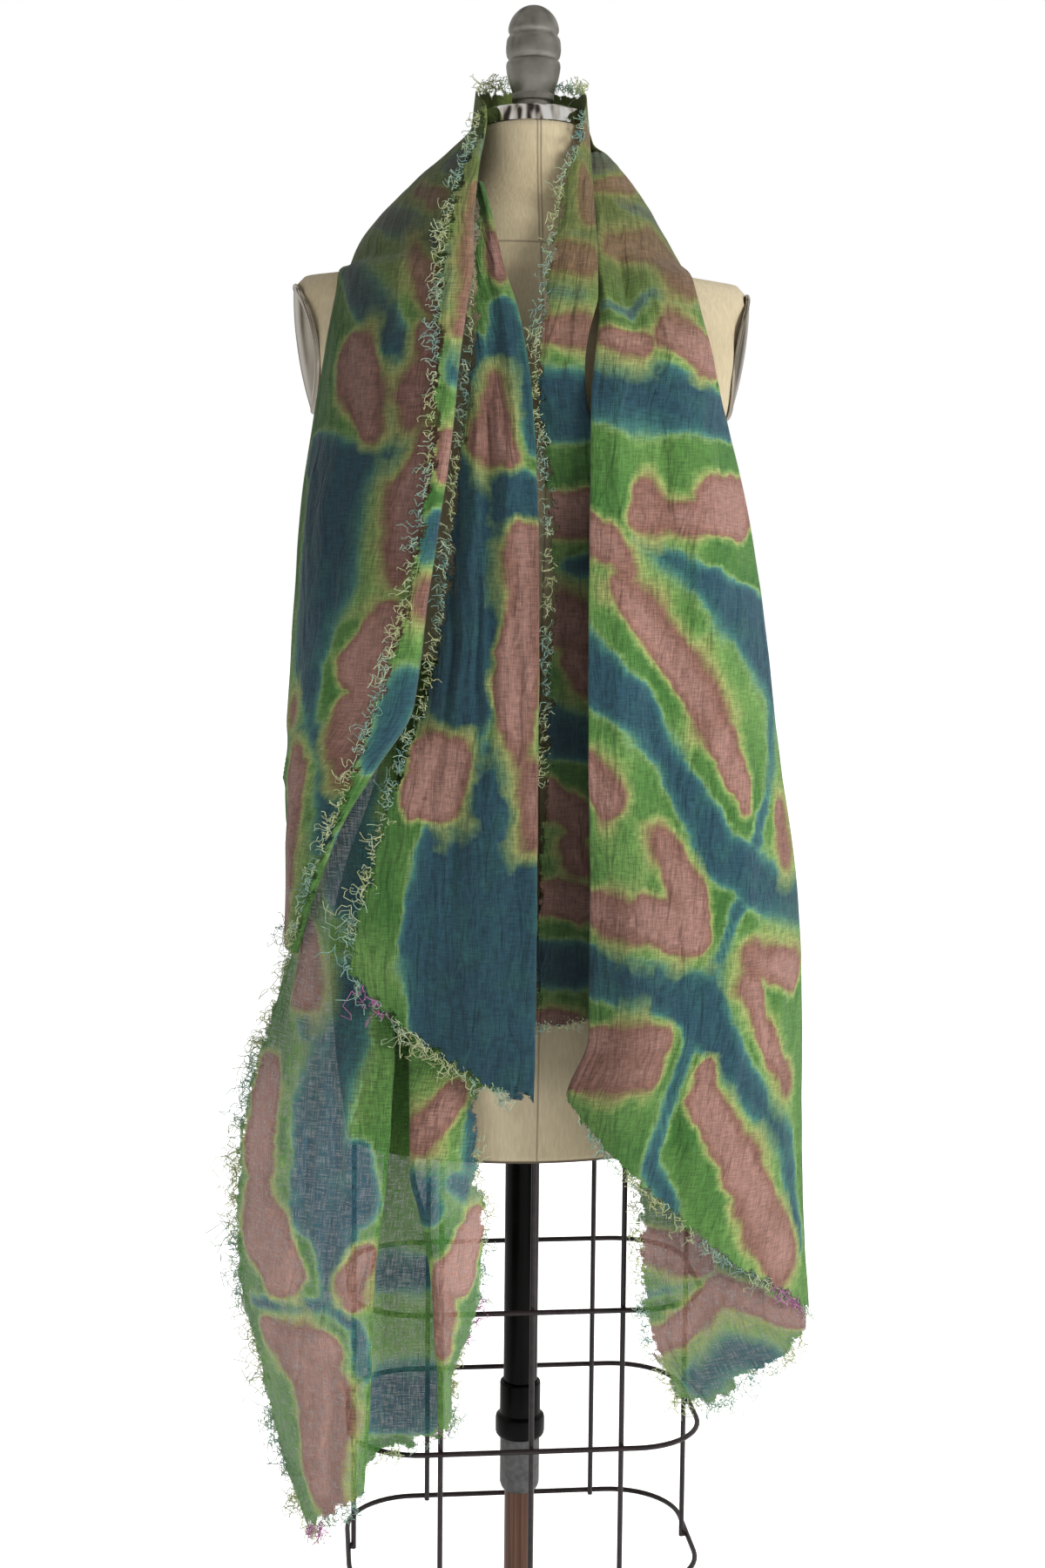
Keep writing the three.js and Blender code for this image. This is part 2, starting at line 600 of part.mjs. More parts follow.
function leftCentreSection(z) {
  const edgeX = read(leftCentreRows, 'edgeX', z);
  const edgeY = read(leftCentreRows, 'edgeY', z);
  const foldX = read(leftCentreRows, 'foldX', z);
  const foldY = read(leftCentreRows, 'foldY', z);
  const ripple = read(leftCentreRows, 'ripple', z);
  const width = foldX - edgeX;
  return [
    [edgeX, edgeY],
    [edgeX + 0.22 * width, edgeY + 0.2 * (foldY - edgeY) - ripple],
    [edgeX + 0.45 * width, edgeY + 0.5 * (foldY - edgeY) + 0.7 * ripple],
    [edgeX + 0.68 * width, foldY - ripple],
    [foldX - 0.12 * width, foldY + 0.3 * ripple],
    [foldX, foldY + 1.5],
    [foldX - 1, foldY + foldTurn],
    [foldX - 0.3 * width, foldY + foldTurn + 1.5],
  ];
}

const leftCentreGrid = drape({
  section: leftCentreSection,
  spans: [2, 2, 2, 2, 1, 1, 1],
  levels: [1480, 1450, 1415, 1375, 1330, 1280, 1225, 1165, 1105, 1050, 1005, 960, 915, 865, 800, 733],
  top: [1480, 1479, 1478, 1477, 1476, 1475, 1474, 1473],
  hem: [838, 804, 776, 754, 738, 734, 734, 742],
});
addNode(shawl, 'shawl_left_centre', wallOf(leftCentreGrid, layer), blueLinen);

// Its lower part, one layer: a left panel, a deep valley and a tube-like fold. The left side is the
// long edge again, and the right side and the foot are the short end.
const leftLowerRows = [
  { z: 1090, edgeX: -193.5, edgeY: -68.5, aX: -104, bX: -80, faceY: -122, valley: 4, endX: -22, endY: -126 },
  { z: 1000, edgeX: -199, edgeY: -65, aX: -104, bX: -80, faceY: -124, valley: 4, endX: -22, endY: -128 },
  { z: 900, edgeX: -199, edgeY: -63.5, aX: -104, bX: -82, faceY: -126, valley: 5, endX: -22, endY: -129 },
  { z: 848, edgeX: -198.5, edgeY: -64, aX: -104, bX: -86, faceY: -128, valley: 8, endX: -24, endY: -129 },
  { z: 804, edgeX: -209, edgeY: -69, aX: -105, bX: -90, faceY: -129, valley: 12, endX: -30, endY: -128 },
  { z: 759, edgeX: -224, edgeY: -76, aX: -106, bX: -93, faceY: -131, valley: 18, endX: -36, endY: -126 },
  { z: 676, edgeX: -240, edgeY: -80, aX: -110, bX: -92, faceY: -138, valley: 24, endX: -36, endY: -122 },
  { z: 631, edgeX: -243, edgeY: -80, aX: -115, bX: -82, faceY: -140, valley: 25, endX: -29, endY: -120 },
  { z: 585, edgeX: -242, edgeY: -79, aX: -120, bX: -74, faceY: -141, valley: 25, endX: -31, endY: -119 },
  { z: 545, edgeX: -238, edgeY: -78, aX: -122, bX: -71, faceY: -141, valley: 25, endX: -36, endY: -119 },
  { z: 495, edgeX: -224, edgeY: -77, aX: -123, bX: -68, faceY: -139, valley: 23, endX: -56, endY: -121 },
  { z: 445, edgeX: -214, edgeY: -76, aX: -126, bX: -67, faceY: -137, valley: 20, endX: -55, endY: -120 },
  { z: 390, edgeX: -198, edgeY: -76, aX: -130, bX: -76, faceY: -133, valley: 16, endX: -60, endY: -118 },
  { z: 320, edgeX: -172, edgeY: -76, aX: -134, bX: -84, faceY: -129, valley: 12, endX: -66, endY: -116 },
];

function leftLowerSection(z) {
  const edgeX = read(leftLowerRows, 'edgeX', z);
  const edgeY = read(leftLowerRows, 'edgeY', z);
  const aX = read(leftLowerRows, 'aX', z);
  const bX = read(leftLowerRows, 'bX', z);
  const faceY = read(leftLowerRows, 'faceY', z);
  const valley = read(leftLowerRows, 'valley', z);
  const endX = read(leftLowerRows, 'endX', z);
  const endY = read(leftLowerRows, 'endY', z);
  const tuck = 0.14 * valley; // the valley's walls slant in behind the folds
  const panel = aX - edgeX;
  return [
    [edgeX, edgeY],
    [edgeX + 0.3 * panel, edgeY + 0.68 * (faceY - edgeY)],
    [edgeX + 0.68 * panel, faceY + 2],
    [aX, faceY],
    [aX - tuck, faceY + 0.5 * valley],
    [aX + 1, faceY + valley],
    [bX - 1, faceY + valley],
    [bX + tuck, faceY + 0.5 * valley],
    [bX, faceY],
    [(bX + endX) / 2, faceY - 5],
    [endX, endY],
  ];
}

const leftLowerGrid = drape({
  section: leftLowerSection,
  spans: [2, 3, 2, 1, 1, 1, 1, 1, 2, 2],
  levels: [1090, 1030, 970, 910, 860, 820, 785, 745, 705, 665, 625, 585, 550, 515, 485, 450, 410, 365,
    322],
  top: [1090, 1090, 1090, 1090, 1090, 1090, 1090, 1090, 1090, 1090, 1090],
  hem: [338, 360, 380, 398, 408, 418, 440, 446, 456, 454, 456],
});
addNode(shawl, 'shawl_left_lower', wallOf(leftLowerGrid, layer), mauveLinen);

// ---------------------------------------------------------------- the right end
// The strip beside the neckline, from its loose long edge to the deep fold beside it. Low down it
// lies behind the front panel's fold.
const rightNeckRows = [
  { z: 1556, edgeX: 44, edgeY: -31, foldX: 44.5, foldY: -5, bulge: 1 },
  { z: 1541, edgeX: 42, edgeY: -34, foldX: 46, foldY: -5, bulge: 1 },
  { z: 1528, edgeX: 40, edgeY: -39, foldX: 47.5, foldY: -7, bulge: 2 },
  { z: 1510, edgeX: 36, edgeY: -48, foldX: 48, foldY: -27, bulge: 2 },
  { z: 1482, edgeX: 26, edgeY: -61, foldX: 49, foldY: -48, bulge: 3 },
  { z: 1450, edgeX: 19, edgeY: -80, foldX: 51, foldY: -70, bulge: 4 },
  { z: 1416, edgeX: 14, edgeY: -96, foldX: 53, foldY: -92, bulge: 4 },
  { z: 1380, edgeX: 8, edgeY: -110, foldX: 53, foldY: -107, bulge: 4 },
  { z: 1365, edgeX: 6, edgeY: -114, foldX: 50, foldY: -112, bulge: 3 },
  { z: 1350, edgeX: 4, edgeY: -118, foldX: 46, foldY: -116, bulge: 3 },
  { z: 1325, edgeX: 3, edgeY: -123, foldX: 43, foldY: -121, bulge: 2 },
  { z: 1300, edgeX: 4, edgeY: -126, foldX: 44, foldY: -126, bulge: 1 },
  { z: 1260, edgeX: 9, edgeY: -129, foldX: 56, foldY: -129, bulge: 0 },
  { z: 1180, edgeX: 16, edgeY: -129, foldX: 66, foldY: -131, bulge: -2 },
  { z: 1060, edgeX: 14, edgeY: -128, foldX: 68, foldY: -131, bulge: -3 },
  { z: 900, edgeX: 8, edgeY: -129, foldX: 70, foldY: -133, bulge: -3 },
  { z: 790, edgeX: 4, edgeY: -130, foldX: 68, foldY: -134, bulge: -3 },
];

function rightNeckSection(z) {
  const edgeX = read(rightNeckRows, 'edgeX', z);
  const edgeY = read(rightNeckRows, 'edgeY', z);
  const foldX = read(rightNeckRows, 'foldX', z);
  const foldY = read(rightNeckRows, 'foldY', z);
  const bulge = read(rightNeckRows, 'bulge', z);
  return [
    [edgeX, edgeY],
    [THREE.MathUtils.lerp(edgeX, foldX, 0.35), THREE.MathUtils.lerp(edgeY, foldY, 0.35) - bulge],
    [THREE.MathUtils.lerp(edgeX, foldX, 0.75), THREE.MathUtils.lerp(edgeY, foldY, 0.75) - bulge],
    [foldX, foldY],
  ];
}

const rightNeckGrid = drape({
  section: rightNeckSection,
  spans: [2, 2, 1],
  levels: [1541, 1515, 1490, 1462, 1432, 1400, 1370, 1345, 1325, 1305, 1275, 1230, 1170, 1090, 990,
    890, 790],
  top: [1541, 1544, 1550, 1556],
  hem: [790, 793, 796, 798],
});
addNode(shawl, 'shawl_right_neck', wallOf(rightNeckGrid, layer), greenLinen);

// The broad front panel, from the shoulder ridge, or the long fold below it, to the crease beside
// the neck strip, where it turns under.
const rightFrontRows = [
  { z: 1508, sideX: 64, sideY: -5, creaseX: 45, creaseY: -20, under: 1 },
  { z: 1490, sideX: 80, sideY: -5, creaseX: 45, creaseY: -33, under: 1 },
  { z: 1467, sideX: 97, sideY: -5, creaseX: 46, creaseY: -48, under: 1 },
  { z: 1447, sideX: 109, sideY: -5, creaseX: 47, creaseY: -62, under: 1 },
  { z: 1430, sideX: 119, sideY: -5, creaseX: 48, creaseY: -74, under: 1 },
  { z: 1420, sideX: 125, sideY: -7, creaseX: 49, creaseY: -80, under: 1 },
  { z: 1409, sideX: 129, sideY: -42, creaseX: 50, creaseY: -86, under: 1 },
  { z: 1402, sideX: 131, sideY: -60, creaseX: 51, creaseY: -90, under: 1 },
  { z: 1390, sideX: 134, sideY: -68, creaseX: 52, creaseY: -96, under: 1 },
  { z: 1365, sideX: 140, sideY: -75, creaseX: 54, creaseY: -105, under: 1 },
  { z: 1340, sideX: 147, sideY: -79, creaseX: 52, creaseY: -116, under: 2 },
  { z: 1320, sideX: 151, sideY: -80, creaseX: 50, creaseY: -127, under: 4 },
  { z: 1295, sideX: 157, sideY: -80, creaseX: 48, creaseY: -136, under: 8 },
  { z: 1255, sideX: 168, sideY: -78, creaseX: 48, creaseY: -140, under: 10 },
  { z: 1200, sideX: 181, sideY: -75, creaseX: 48, creaseY: -143, under: 12 },
  { z: 1130, sideX: 194, sideY: -70, creaseX: 48, creaseY: -145, under: 12 },
  { z: 1020, sideX: 209, sideY: -66, creaseX: 49, creaseY: -146, under: 12 },
  { z: 880, sideX: 230, sideY: -62, creaseX: 52, creaseY: -147, under: 12 },
  { z: 790, sideX: 235, sideY: -60, creaseX: 52, creaseY: -148, under: 12 },
  { z: 735, sideX: 236, sideY: -60, creaseX: 34, creaseY: -149, under: 12 },
  { z: 640, sideX: 239, sideY: -60, creaseX: 34, creaseY: -149, under: 12 },
  { z: 528, sideX: 247, sideY: -60, creaseX: 34, creaseY: -149, under: 12 },
];
// Soft vertical folds: how far each plan point stands forward, all down the panel.
const rightFolds = [0, 0, -5, 4, -4, 0, 0, 0];

function rightFrontSection(z) {
  const sideX = read(rightFrontRows, 'sideX', z);
  const sideY = read(rightFrontRows, 'sideY', z);
  const creaseX = read(rightFrontRows, 'creaseX', z);
  const creaseY = read(rightFrontRows, 'creaseY', z);
  const under = read(rightFrontRows, 'under', z);
  const width = sideX - creaseX;
  const depth = sideY - creaseY;
  const swing = THREE.MathUtils.clamp((1440 - z) / 200, 0, 1);
  const course = [
    [sideX, sideY],
    [sideX - 0.12 * width, sideY - 0.38 * depth],
    [sideX - 0.34 * width, sideY - 0.7 * depth],
    [sideX - 0.6 * width, sideY - 0.9 * depth],
    [creaseX + 0.18 * width, creaseY + 1],
    [creaseX + 0.02 * width, creaseY],
    [creaseX, creaseY + 0.2 * foldTurn],
    [creaseX + under, creaseY + 0.2 * foldTurn + 0.07 * under * foldTurn],
  ];
  return course.map(([x, y], k) => [x, y + swing * rightFolds[k]]);
}

const rightFrontGrid = drape({
  section: rightFrontSection,
  spans: [2, 3, 3, 3, 2, 1, 1],
  levels: [1507, 1488, 1468, 1450, 1435, 1420, 1409, 1398, 1380, 1355, 1330, 1305, 1270, 1220, 1150, 1060,
    960, 860, 770, 690, 610, 530],
  top: [1507, 1504, 1498, 1492, 1486, 1484, 1484, 1484],
  hem: [530, 560, 594, 644, 690, 733, 740, 752],
});
addNode(shawl, 'shawl_right_front', wallOf(rightFrontGrid, layer), greenLinen);

// The under layer behind it, which shows below the front panel's foot and from behind.
const underInset = 2; // how far its side lies in from the front panel's side, in x and in y
const rightUnderRows = [
  { z: 1290, edgeX: 92, edgeY: -118 },
  { z: 1200, edgeX: 90, edgeY: -126 },
  { z: 880, edgeX: 90, edgeY: -128 },
  { z: 735, edgeX: 91, edgeY: -122 },
  { z: 654, edgeX: 93, edgeY: -118 },
  { z: 587, edgeX: 96, edgeY: -116 },
  { z: 527, edgeX: 104, edgeY: -113 },
  { z: 466, edgeX: 134, edgeY: -106 },
];

function rightUnderSection(z) {
  const sideX = read(rightFrontRows, 'sideX', z) - underInset;
  const sideY = read(rightFrontRows, 'sideY', z) + underInset;
  const edgeX = read(rightUnderRows, 'edgeX', z);
  const edgeY = read(rightUnderRows, 'edgeY', z);
  const width = sideX - edgeX;
  const depth = sideY - edgeY;
  return [
    [sideX, sideY],
    [sideX - 0.16 * width, sideY - 0.36 * depth],
    [sideX - 0.44 * width, sideY - 0.66 * depth + 4],
    [sideX - 0.72 * width, sideY - 0.86 * depth - 2],
    [edgeX, edgeY],
  ];
}

const rightUnderGrid = drape({
  section: rightUnderSection,
  spans: [2, 2, 2, 2],
  levels: [1290, 1230, 1150, 1060, 960, 860, 780, 710, 655, 600, 555, 515, 468],
  top: [1290, 1290, 1290, 1290, 1290],
  hem: [512, 496, 483, 464, 471],
});
addNode(shawl, 'shawl_right_under', wallOf(rightUnderGrid, layer), mauveLinen);

// ---------------------------------------------------------------- the frayed edges
const leftCentreFold = 8; // the column of its fold, where the loose foot ends
const foldA = 7; // the columns of the folds either side of the left end's valley
const foldB = 12;
const rightCrease = 13; // the column of the front panel's crease
const napeFray = [backGrid[0].slice(1, -1), backGrid[1].slice(1, -1)];
const longEdge = (grid, column, first, last) => [
  columnOf(grid, column).slice(first, last),
  columnOf(grid, column < 0 ? column - 1 : column + 1).slice(first, last),
];
const foot = (grid, first, last) => [grid.at(-1).slice(first, last), grid.at(-2).slice(first, last)];
const frays = [
  ['fray_nape', napeFray, 1, 9, -0.1],
  ['fray_left_front', longEdge(leftFrontGrid, -1, 0, 21), 2, 9, 0.25],
  ['fray_left_centre', longEdge(leftCentreGrid, 0, 0, 16), 2, 9, 0.25],
  ['fray_left_centre_foot', foot(leftCentreGrid, 0, leftCentreFold + 1), 2, 13, 0.2],
  ['fray_left_lower', longEdge(leftLowerGrid, 0, 6, 19), 2, 9, 0.2],
  ['fray_left_lower_end', longEdge(leftLowerGrid, -1, 11, 18), 2, 11, 0.2],
  ['fray_left_lower_foot', foot(leftLowerGrid, 0, foldA + 1), 2, 12, 0.2],
  ['fray_left_valley_foot', foot(leftLowerGrid, foldA + 2, foldB - 1), 4, 10, 0.2],
  ['fray_left_tube_foot', foot(leftLowerGrid, foldB, -1), 2, 10, 0.2],
  ['fray_right_neck', longEdge(rightNeckGrid, 0, 0, 13), 2, 9, 0.25],
  ['fray_right_neck_foot', foot(rightNeckGrid, 0, 6), 1, 9, 0.2],
  ['fray_right_front_foot', foot(rightFrontGrid, 0, rightCrease), 2, 10, 0.2],
  ['fray_right_under', longEdge(rightUnderGrid, -1, 6, 13), 2, 9, 0.2],
  ['fray_right_under_foot', foot(rightUnderGrid, 0, 9), 2, 12, 0.2],
];
for (const [name, [edge, inner], perStep, reach, sag] of frays) {
  addNode(shawl, name, frayedStrip({ edge, inner, perStep, reach, sag }), looseThread);
}

// ---------------------------------------------------------------- the origin
// The origin is under the middle of the whole object's box, on the surface that the base stands on.
const bounds = new THREE.Box3().setFromObject(object, true);
const middle = bounds.getCenter(new THREE.Vector3());
object.position.set(-middle.x, -middle.y, -bounds.min.z);

export default object;
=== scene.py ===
# A fold-dyed linen shawl, folded in half along its length and hung round the neck of a limbless
# dress form. The form stands on an iron base by a mast that slides in a clamp, with a wire cage below.
# Sizes in the sections are in millimetres and are turned to metres where a mesh is made. Those of the
# studio, in the materials and of the loose threads are in metres.
import math
from types import SimpleNamespace

import bmesh
import bpy
import numpy as np
from mathutils import Matrix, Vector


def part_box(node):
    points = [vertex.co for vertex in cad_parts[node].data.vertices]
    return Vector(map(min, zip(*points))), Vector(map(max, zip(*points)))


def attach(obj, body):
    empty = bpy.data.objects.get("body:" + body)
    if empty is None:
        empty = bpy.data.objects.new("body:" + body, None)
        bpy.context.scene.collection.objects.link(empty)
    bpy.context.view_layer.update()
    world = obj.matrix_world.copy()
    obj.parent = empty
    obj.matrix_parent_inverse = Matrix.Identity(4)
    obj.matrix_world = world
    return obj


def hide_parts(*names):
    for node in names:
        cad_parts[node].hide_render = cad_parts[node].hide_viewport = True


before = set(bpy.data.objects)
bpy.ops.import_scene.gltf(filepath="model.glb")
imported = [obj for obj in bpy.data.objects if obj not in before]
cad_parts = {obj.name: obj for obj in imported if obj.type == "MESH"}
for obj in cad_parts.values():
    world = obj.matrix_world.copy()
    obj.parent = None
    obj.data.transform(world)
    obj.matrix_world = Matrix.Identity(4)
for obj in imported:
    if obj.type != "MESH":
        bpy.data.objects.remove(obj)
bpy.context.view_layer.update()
scene = bpy.context.scene

# ---------------------------------------------------------------- the camera
# A camera on a stand in front of the form and a little to its left, above the middle and tipped down.
mast_low, mast_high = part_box("mast")
axis_x = (mast_low.x + mast_high.x) / 2
camera_distance = 1.8
camera_heading = math.radians(-6)
camera_pitch = math.radians(5.6)
camera_roll = math.radians(0.56)
camera_height = 1.155
camera_shift = -0.0032
camera_data = bpy.data.cameras.new("camera")
camera_data.lens = 48
camera_data.sensor_fit = "VERTICAL"
camera_data.sensor_height = 36
camera = bpy.data.objects.new("camera", camera_data)
scene.collection.objects.link(camera)
camera_place = (
    axis_x + camera_distance * math.sin(camera_heading) + camera_shift * math.cos(camera_heading),
    -camera_distance * math.cos(camera_heading) + camera_shift * math.sin(camera_heading),
    camera_height,
)
camera.matrix_world = (
    Matrix.Translation(camera_place)
    @ Matrix.Rotation(camera_heading, 4, "Z")
    @ Matrix.Rotation(math.pi / 2 - camera_pitch, 4, "X")
    @ Matrix.Rotation(camera_roll, 4, "Z")
)
scene.camera = camera
scene.view_settings.view_transform = "Standard"

# ---------------------------------------------------------------- the studio
# A flat white floor with no edge in sight, one broad soft lamp at the front right and weaker ones at
# the left and behind. Polished parts mirror a plain room with a few dark uprights in it.
def linear(hex_colour):
    """An sRGB hex colour as linear red, green, blue and a full alpha."""
    parts = [int(hex_colour[k:k + 2], 16) / 255 for k in (1, 3, 5)]
    parts = [p / 12.92 if p <= 0.04045 else ((p + 0.055) / 1.055) ** 2.4 for p in parts]
    return (*parts, 1)


def feed(node, inputs):
    """Sets a node's inputs, or links them where the value is a node's output or a node, which stands
    for its first output. The inputs are named, or listed in their order. Inputs that share a name go
    by number: a Mix's factor is 0, its numbers 2 and 3 and its colours 6 and 7, and a MapRange has
    its low and high ends at 1 and 2 and what they become at 3 and 4."""
    for key, value in inputs.items() if isinstance(inputs, dict) else enumerate(inputs):
        if isinstance(value, bpy.types.Node):
            value = next(output for output in value.outputs if output.enabled)
        if isinstance(value, bpy.types.NodeSocket):
            node.id_data.links.new(value, node.inputs[key])
        else:
            node.inputs[key].default_value = value


def add(tree, kind, inputs=(), stops=(), **settings):
    """Adds a node, a shader node unless its kind says otherwise, and gives it its settings, the stops
    of its ramp and its inputs."""
    node = tree.nodes.new(kind if "Node" in kind else "ShaderNode" + kind)
    for name, value in settings.items():
        setattr(node, name, value)
    for number, (place, colour) in enumerate(stops):
        ramp = node.color_ramp.elements
        stop = ramp[number] if number < 2 else ramp.new(place)
        stop.position = place
        stop.color = linear(colour) if isinstance(colour, str) else colour
    feed(node, inputs)
    return node


def new_material(name):
    """A material with an empty tree but for its output and a Principled shader, and both nodes."""
    material = bpy.data.materials.new(name)
    material.use_nodes = True
    tree = material.node_tree
    tree.nodes.clear()
    shader = add(tree, "BsdfPrincipled")
    add(tree, "OutputMaterial", (shader,))
    return material, tree, shader


room = bpy.data.worlds.new("room")
room.use_nodes = True
scene.world = room
tree = room.node_tree
tree.nodes.clear()
looking = add(tree, "TexCoord")
spread = add(tree, "Mapping", {"Vector": looking.outputs["Generated"], "Scale": (1.9, 1.9, 0.02)})
walls = add(tree, "TexNoise", {"Vector": spread, "Scale": 1.6, "Detail": 1.0})
tones = add(tree, "ValToRGB", {"Fac": walls}, stops=[
    (0.40, "#3c3532"), (0.45, "#a8a29a"), (0.52, "#e4e0d8"), (0.62, "#ffffff")])
sight = add(tree, "LightPath")
glossy_walls = add(tree, "Mix", {
    0: sight.outputs["Is Glossy Ray"], 6: linear("#f4f3f1"), 7: tones}, data_type="RGBA")
seen = add(tree, "Mix", {
    0: sight.outputs["Is Camera Ray"], 6: glossy_walls, 7: (1, 1, 1, 1)}, data_type="RGBA")
mirrored = add(tree, "MapRange", {"Value": sight.outputs["Is Glossy Ray"], 3: 0.36, 4: 0.8})
glow = add(tree, "Mix", {0: sight.outputs["Is Camera Ray"], 2: mirrored, 3: 1.0}, data_type="FLOAT")
backdrop = add(tree, "Background", {"Color": seen, "Strength": glow})
add(tree, "OutputWorld", {"Surface": backdrop})

for name, place, size, power in (
    ("lamp_right", (2.6, -2.1, 2.0), 1.3, 88),
    ("lamp_left", (-2.2, -2.2, 0.8), 1.6, 12.5),
    ("lamp_back", (0.6, 2.6, 2.2), 1.8, 24),
):
    lamp_data = bpy.data.lights.new(name, "AREA")
    lamp_data.shape = "DISK"
    lamp_data.size = size
    lamp_data.energy = power
    lamp = bpy.data.objects.new(name, lamp_data)
    lamp.visible_glossy = False
    scene.collection.objects.link(lamp)
    target = np.array((0, 0, 1.05)) - np.array(place)
    heading = math.atan2(target[1], target[0]) - math.pi / 2
    tilt = math.atan2(target[2], math.hypot(target[0], target[1])) + math.pi / 2
    lamp.matrix_world = (
        Matrix.Translation(place) @ Matrix.Rotation(heading, 4, "Z") @ Matrix.Rotation(tilt, 4, "X")
    )

floor_reach = 40
floor_corners = [(x * floor_reach, y * floor_reach, 0) for x, y in ((-1, -1), (1, -1), (1, 1), (-1, 1))]
floor_mesh = bpy.data.meshes.new("floor")
floor_mesh.from_pydata(floor_corners, [], [(0, 1, 2, 3)])
floor = bpy.data.objects.new("floor", floor_mesh)
scene.collection.objects.link(floor)
# Flat white paint: even and matt, so that only soft shadows show on it.
floor_paint, tree, shader = new_material("white painted floor")
sight = add(tree, "LightPath")
whiteness = add(tree, "MapRange", {"Value": sight.outputs["Is Camera Ray"], 3: 0.25, 4: 1.0})
feed(shader, {
    "Base Color": (0.93, 0.93, 0.93, 1), "Roughness": 0.9, "Emission Color": (1, 1, 1, 1),
    "Emission Strength": whiteness})
floor_mesh.materials.append(floor_paint)

# ---------------------------------------------------------------- the padded body
# A hard shell padded and covered in tight cream linen, sewn from panels with a seam down the
# middle of the front, doubled above the neckline seam. It closes with a dark line at its lower edge.
def placed(name, mesh, nodes, body="form"):
    """A mesh as a piece that rides on a body and stands for some nodes."""
    piece = bpy.data.objects.new(name, mesh)
    scene.collection.objects.link(piece)
    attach(piece, body)
    if nodes:
        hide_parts(*nodes)
    return piece


def mesh_of(name, points, faces, material):
    """A smooth shaded mesh of one material from points in metres."""
    mesh = bpy.data.meshes.new(name)
    mesh.from_pydata([tuple(p) for p in points], [], faces)
    mesh.shade_smooth()
    mesh.materials.append(material)
    return mesh


def chart(text):
    """The numbers of a chart, a row for each line. The code that reads a chart names its columns."""
    return np.array([line.split() for line in text.strip().splitlines()], float)


def read_rows(table, heights):
    """Smooth readings of a table's columns at falling heights, never beyond the rows around them."""
    z = table[:, 0]
    steep = (table[1:, 1:] - table[:-1, 1:]) / (z[1:] - z[:-1])[:, None]
    above = np.vstack([steep[:1], steep])
    below = np.vstack([steep, steep[-1:]])
    total = np.where(above + below == 0, 1, above + below)
    slope = np.where(above * below > 0, 2 * above * below / total, 0)
    row = np.clip(np.searchsorted(-z, -heights, side="right") - 1, 0, len(z) - 2)
    span = (z[row + 1] - z[row])[:, None]
    t = np.clip((heights - z[row]) / span[:, 0], 0, 1)[:, None]
    values = (
        (2 * t**3 - 3 * t**2 + 1) * table[row, 1:] + (t**3 - 2 * t**2 + t) * span * slope[row]
        + (3 * t**2 - 2 * t**3) * table[row + 1, 1:] + (t**3 - t**2) * span * slope[row + 1])
    return values.T


torso_rows = chart("""
1529.5 43 43 43 300 0
1498 49 47 49 300 -1
1477 60 52 58 300 -2
1454 80 62 70 300 -4
1437 100 68 75 300 -6
1422 112 71 76 300 -7
1410 133 74 77 300 -7
1402 190 73 75 190 -7
1385 202 82 80 187.5 -7
1345 204 98 92 181.5 -7
1300 190 112 102 175 -7
1240 160 121 105 300 -6
1180 148 114 100 300 -4
1110 128 101 93 300 -2
1040 119 92 90 300 0
980 131 97 99 300 0
900 158 109 113 300 0
840 169 115 117 300 0
760 165 113 111 300 0
673 154 107 102 300 0
""")
torso_bottom = torso_rows[-1, 0]
torso_sides = 120
around = np.linspace(0, 2 * math.pi, torso_sides, endpoint=False)
armhole_crown = 0.0036
rings = []
for z, width, front, back, flat, lean in torso_rows:
    y = np.where(np.sin(around) < 0, front, back) * np.sin(around)
    end = flat - armhole_crown * y**2
    x = lean + np.clip(width * np.cos(around), -end, end)
    rings.append(np.concatenate([[z], x, y]))
torso_heights = np.linspace(torso_rows[0][0], torso_bottom, 144)
torso_rings = read_rows(np.array(rings), torso_heights).T
points = []
for z, ring in zip(torso_heights, torso_rings):
    for x, y in zip(ring[:torso_sides], ring[torso_sides:]):
        points.append((axis_x + x / 1000, y / 1000, z / 1000))
faces = []
for r in range(len(torso_heights) - 1):
    for k in range(torso_sides):
        a = r * torso_sides + k
        b = r * torso_sides + (k + 1) % torso_sides
        faces.append((a, a + torso_sides, b + torso_sides, b))
last = (len(torso_heights) - 1) * torso_sides
for start, height, turn in ((0, torso_rows[0][0], 1), (last, torso_bottom, -1)):
    middle = len(points)
    points.append((axis_x, 0, height / 1000))
    for k in range(torso_sides):
        a, b = start + k, start + (k + 1) % torso_sides
        faces.append((a, b, middle)[::turn])

# Tight plain-woven linen, matt and a warm cream that is slightly cloudy. Its threads are too fine to
# see, and are drawn coarser, so that they show as faint upright slubs. The seams are thin dark lines.
neckline_seam = 1.4275
doubled_above = 1.428
doubled_spread = 0.0014
seam_shift = 0.0005
dark_edge = 0.6745
form_linen, tree, shader = new_material("cream linen, tightly woven and stretched")
where = add(tree, "TexCoord").outputs["Object"]
axes = add(tree, "SeparateXYZ", (where,))
cloudy = add(tree, "TexNoise", {"Vector": where, "Scale": 9.0, "Detail": 3.0})
cream = add(tree, "ValToRGB", {"Fac": cloudy}, stops=[(0.3, "#c3b391"), (0.7, "#d2c4a5")])
slubs = add(tree, "Mapping", {"Vector": where, "Scale": (500, 500, 90)})
weave = add(tree, "TexNoise", {"Vector": slubs, "Scale": 1.0, "Detail": 2.0})
threads = add(tree, "MapRange", {"Value": weave, 1: 0.3, 2: 0.7, 3: 0.9, 4: 1.06})
woven = add(tree, "Mix", {0: 1.0, 6: cream, 7: threads}, data_type="RGBA", blend_type="MULTIPLY")
from_middle = add(tree, "Math", (axes.outputs["X"], axis_x + seam_shift), operation="SUBTRACT")
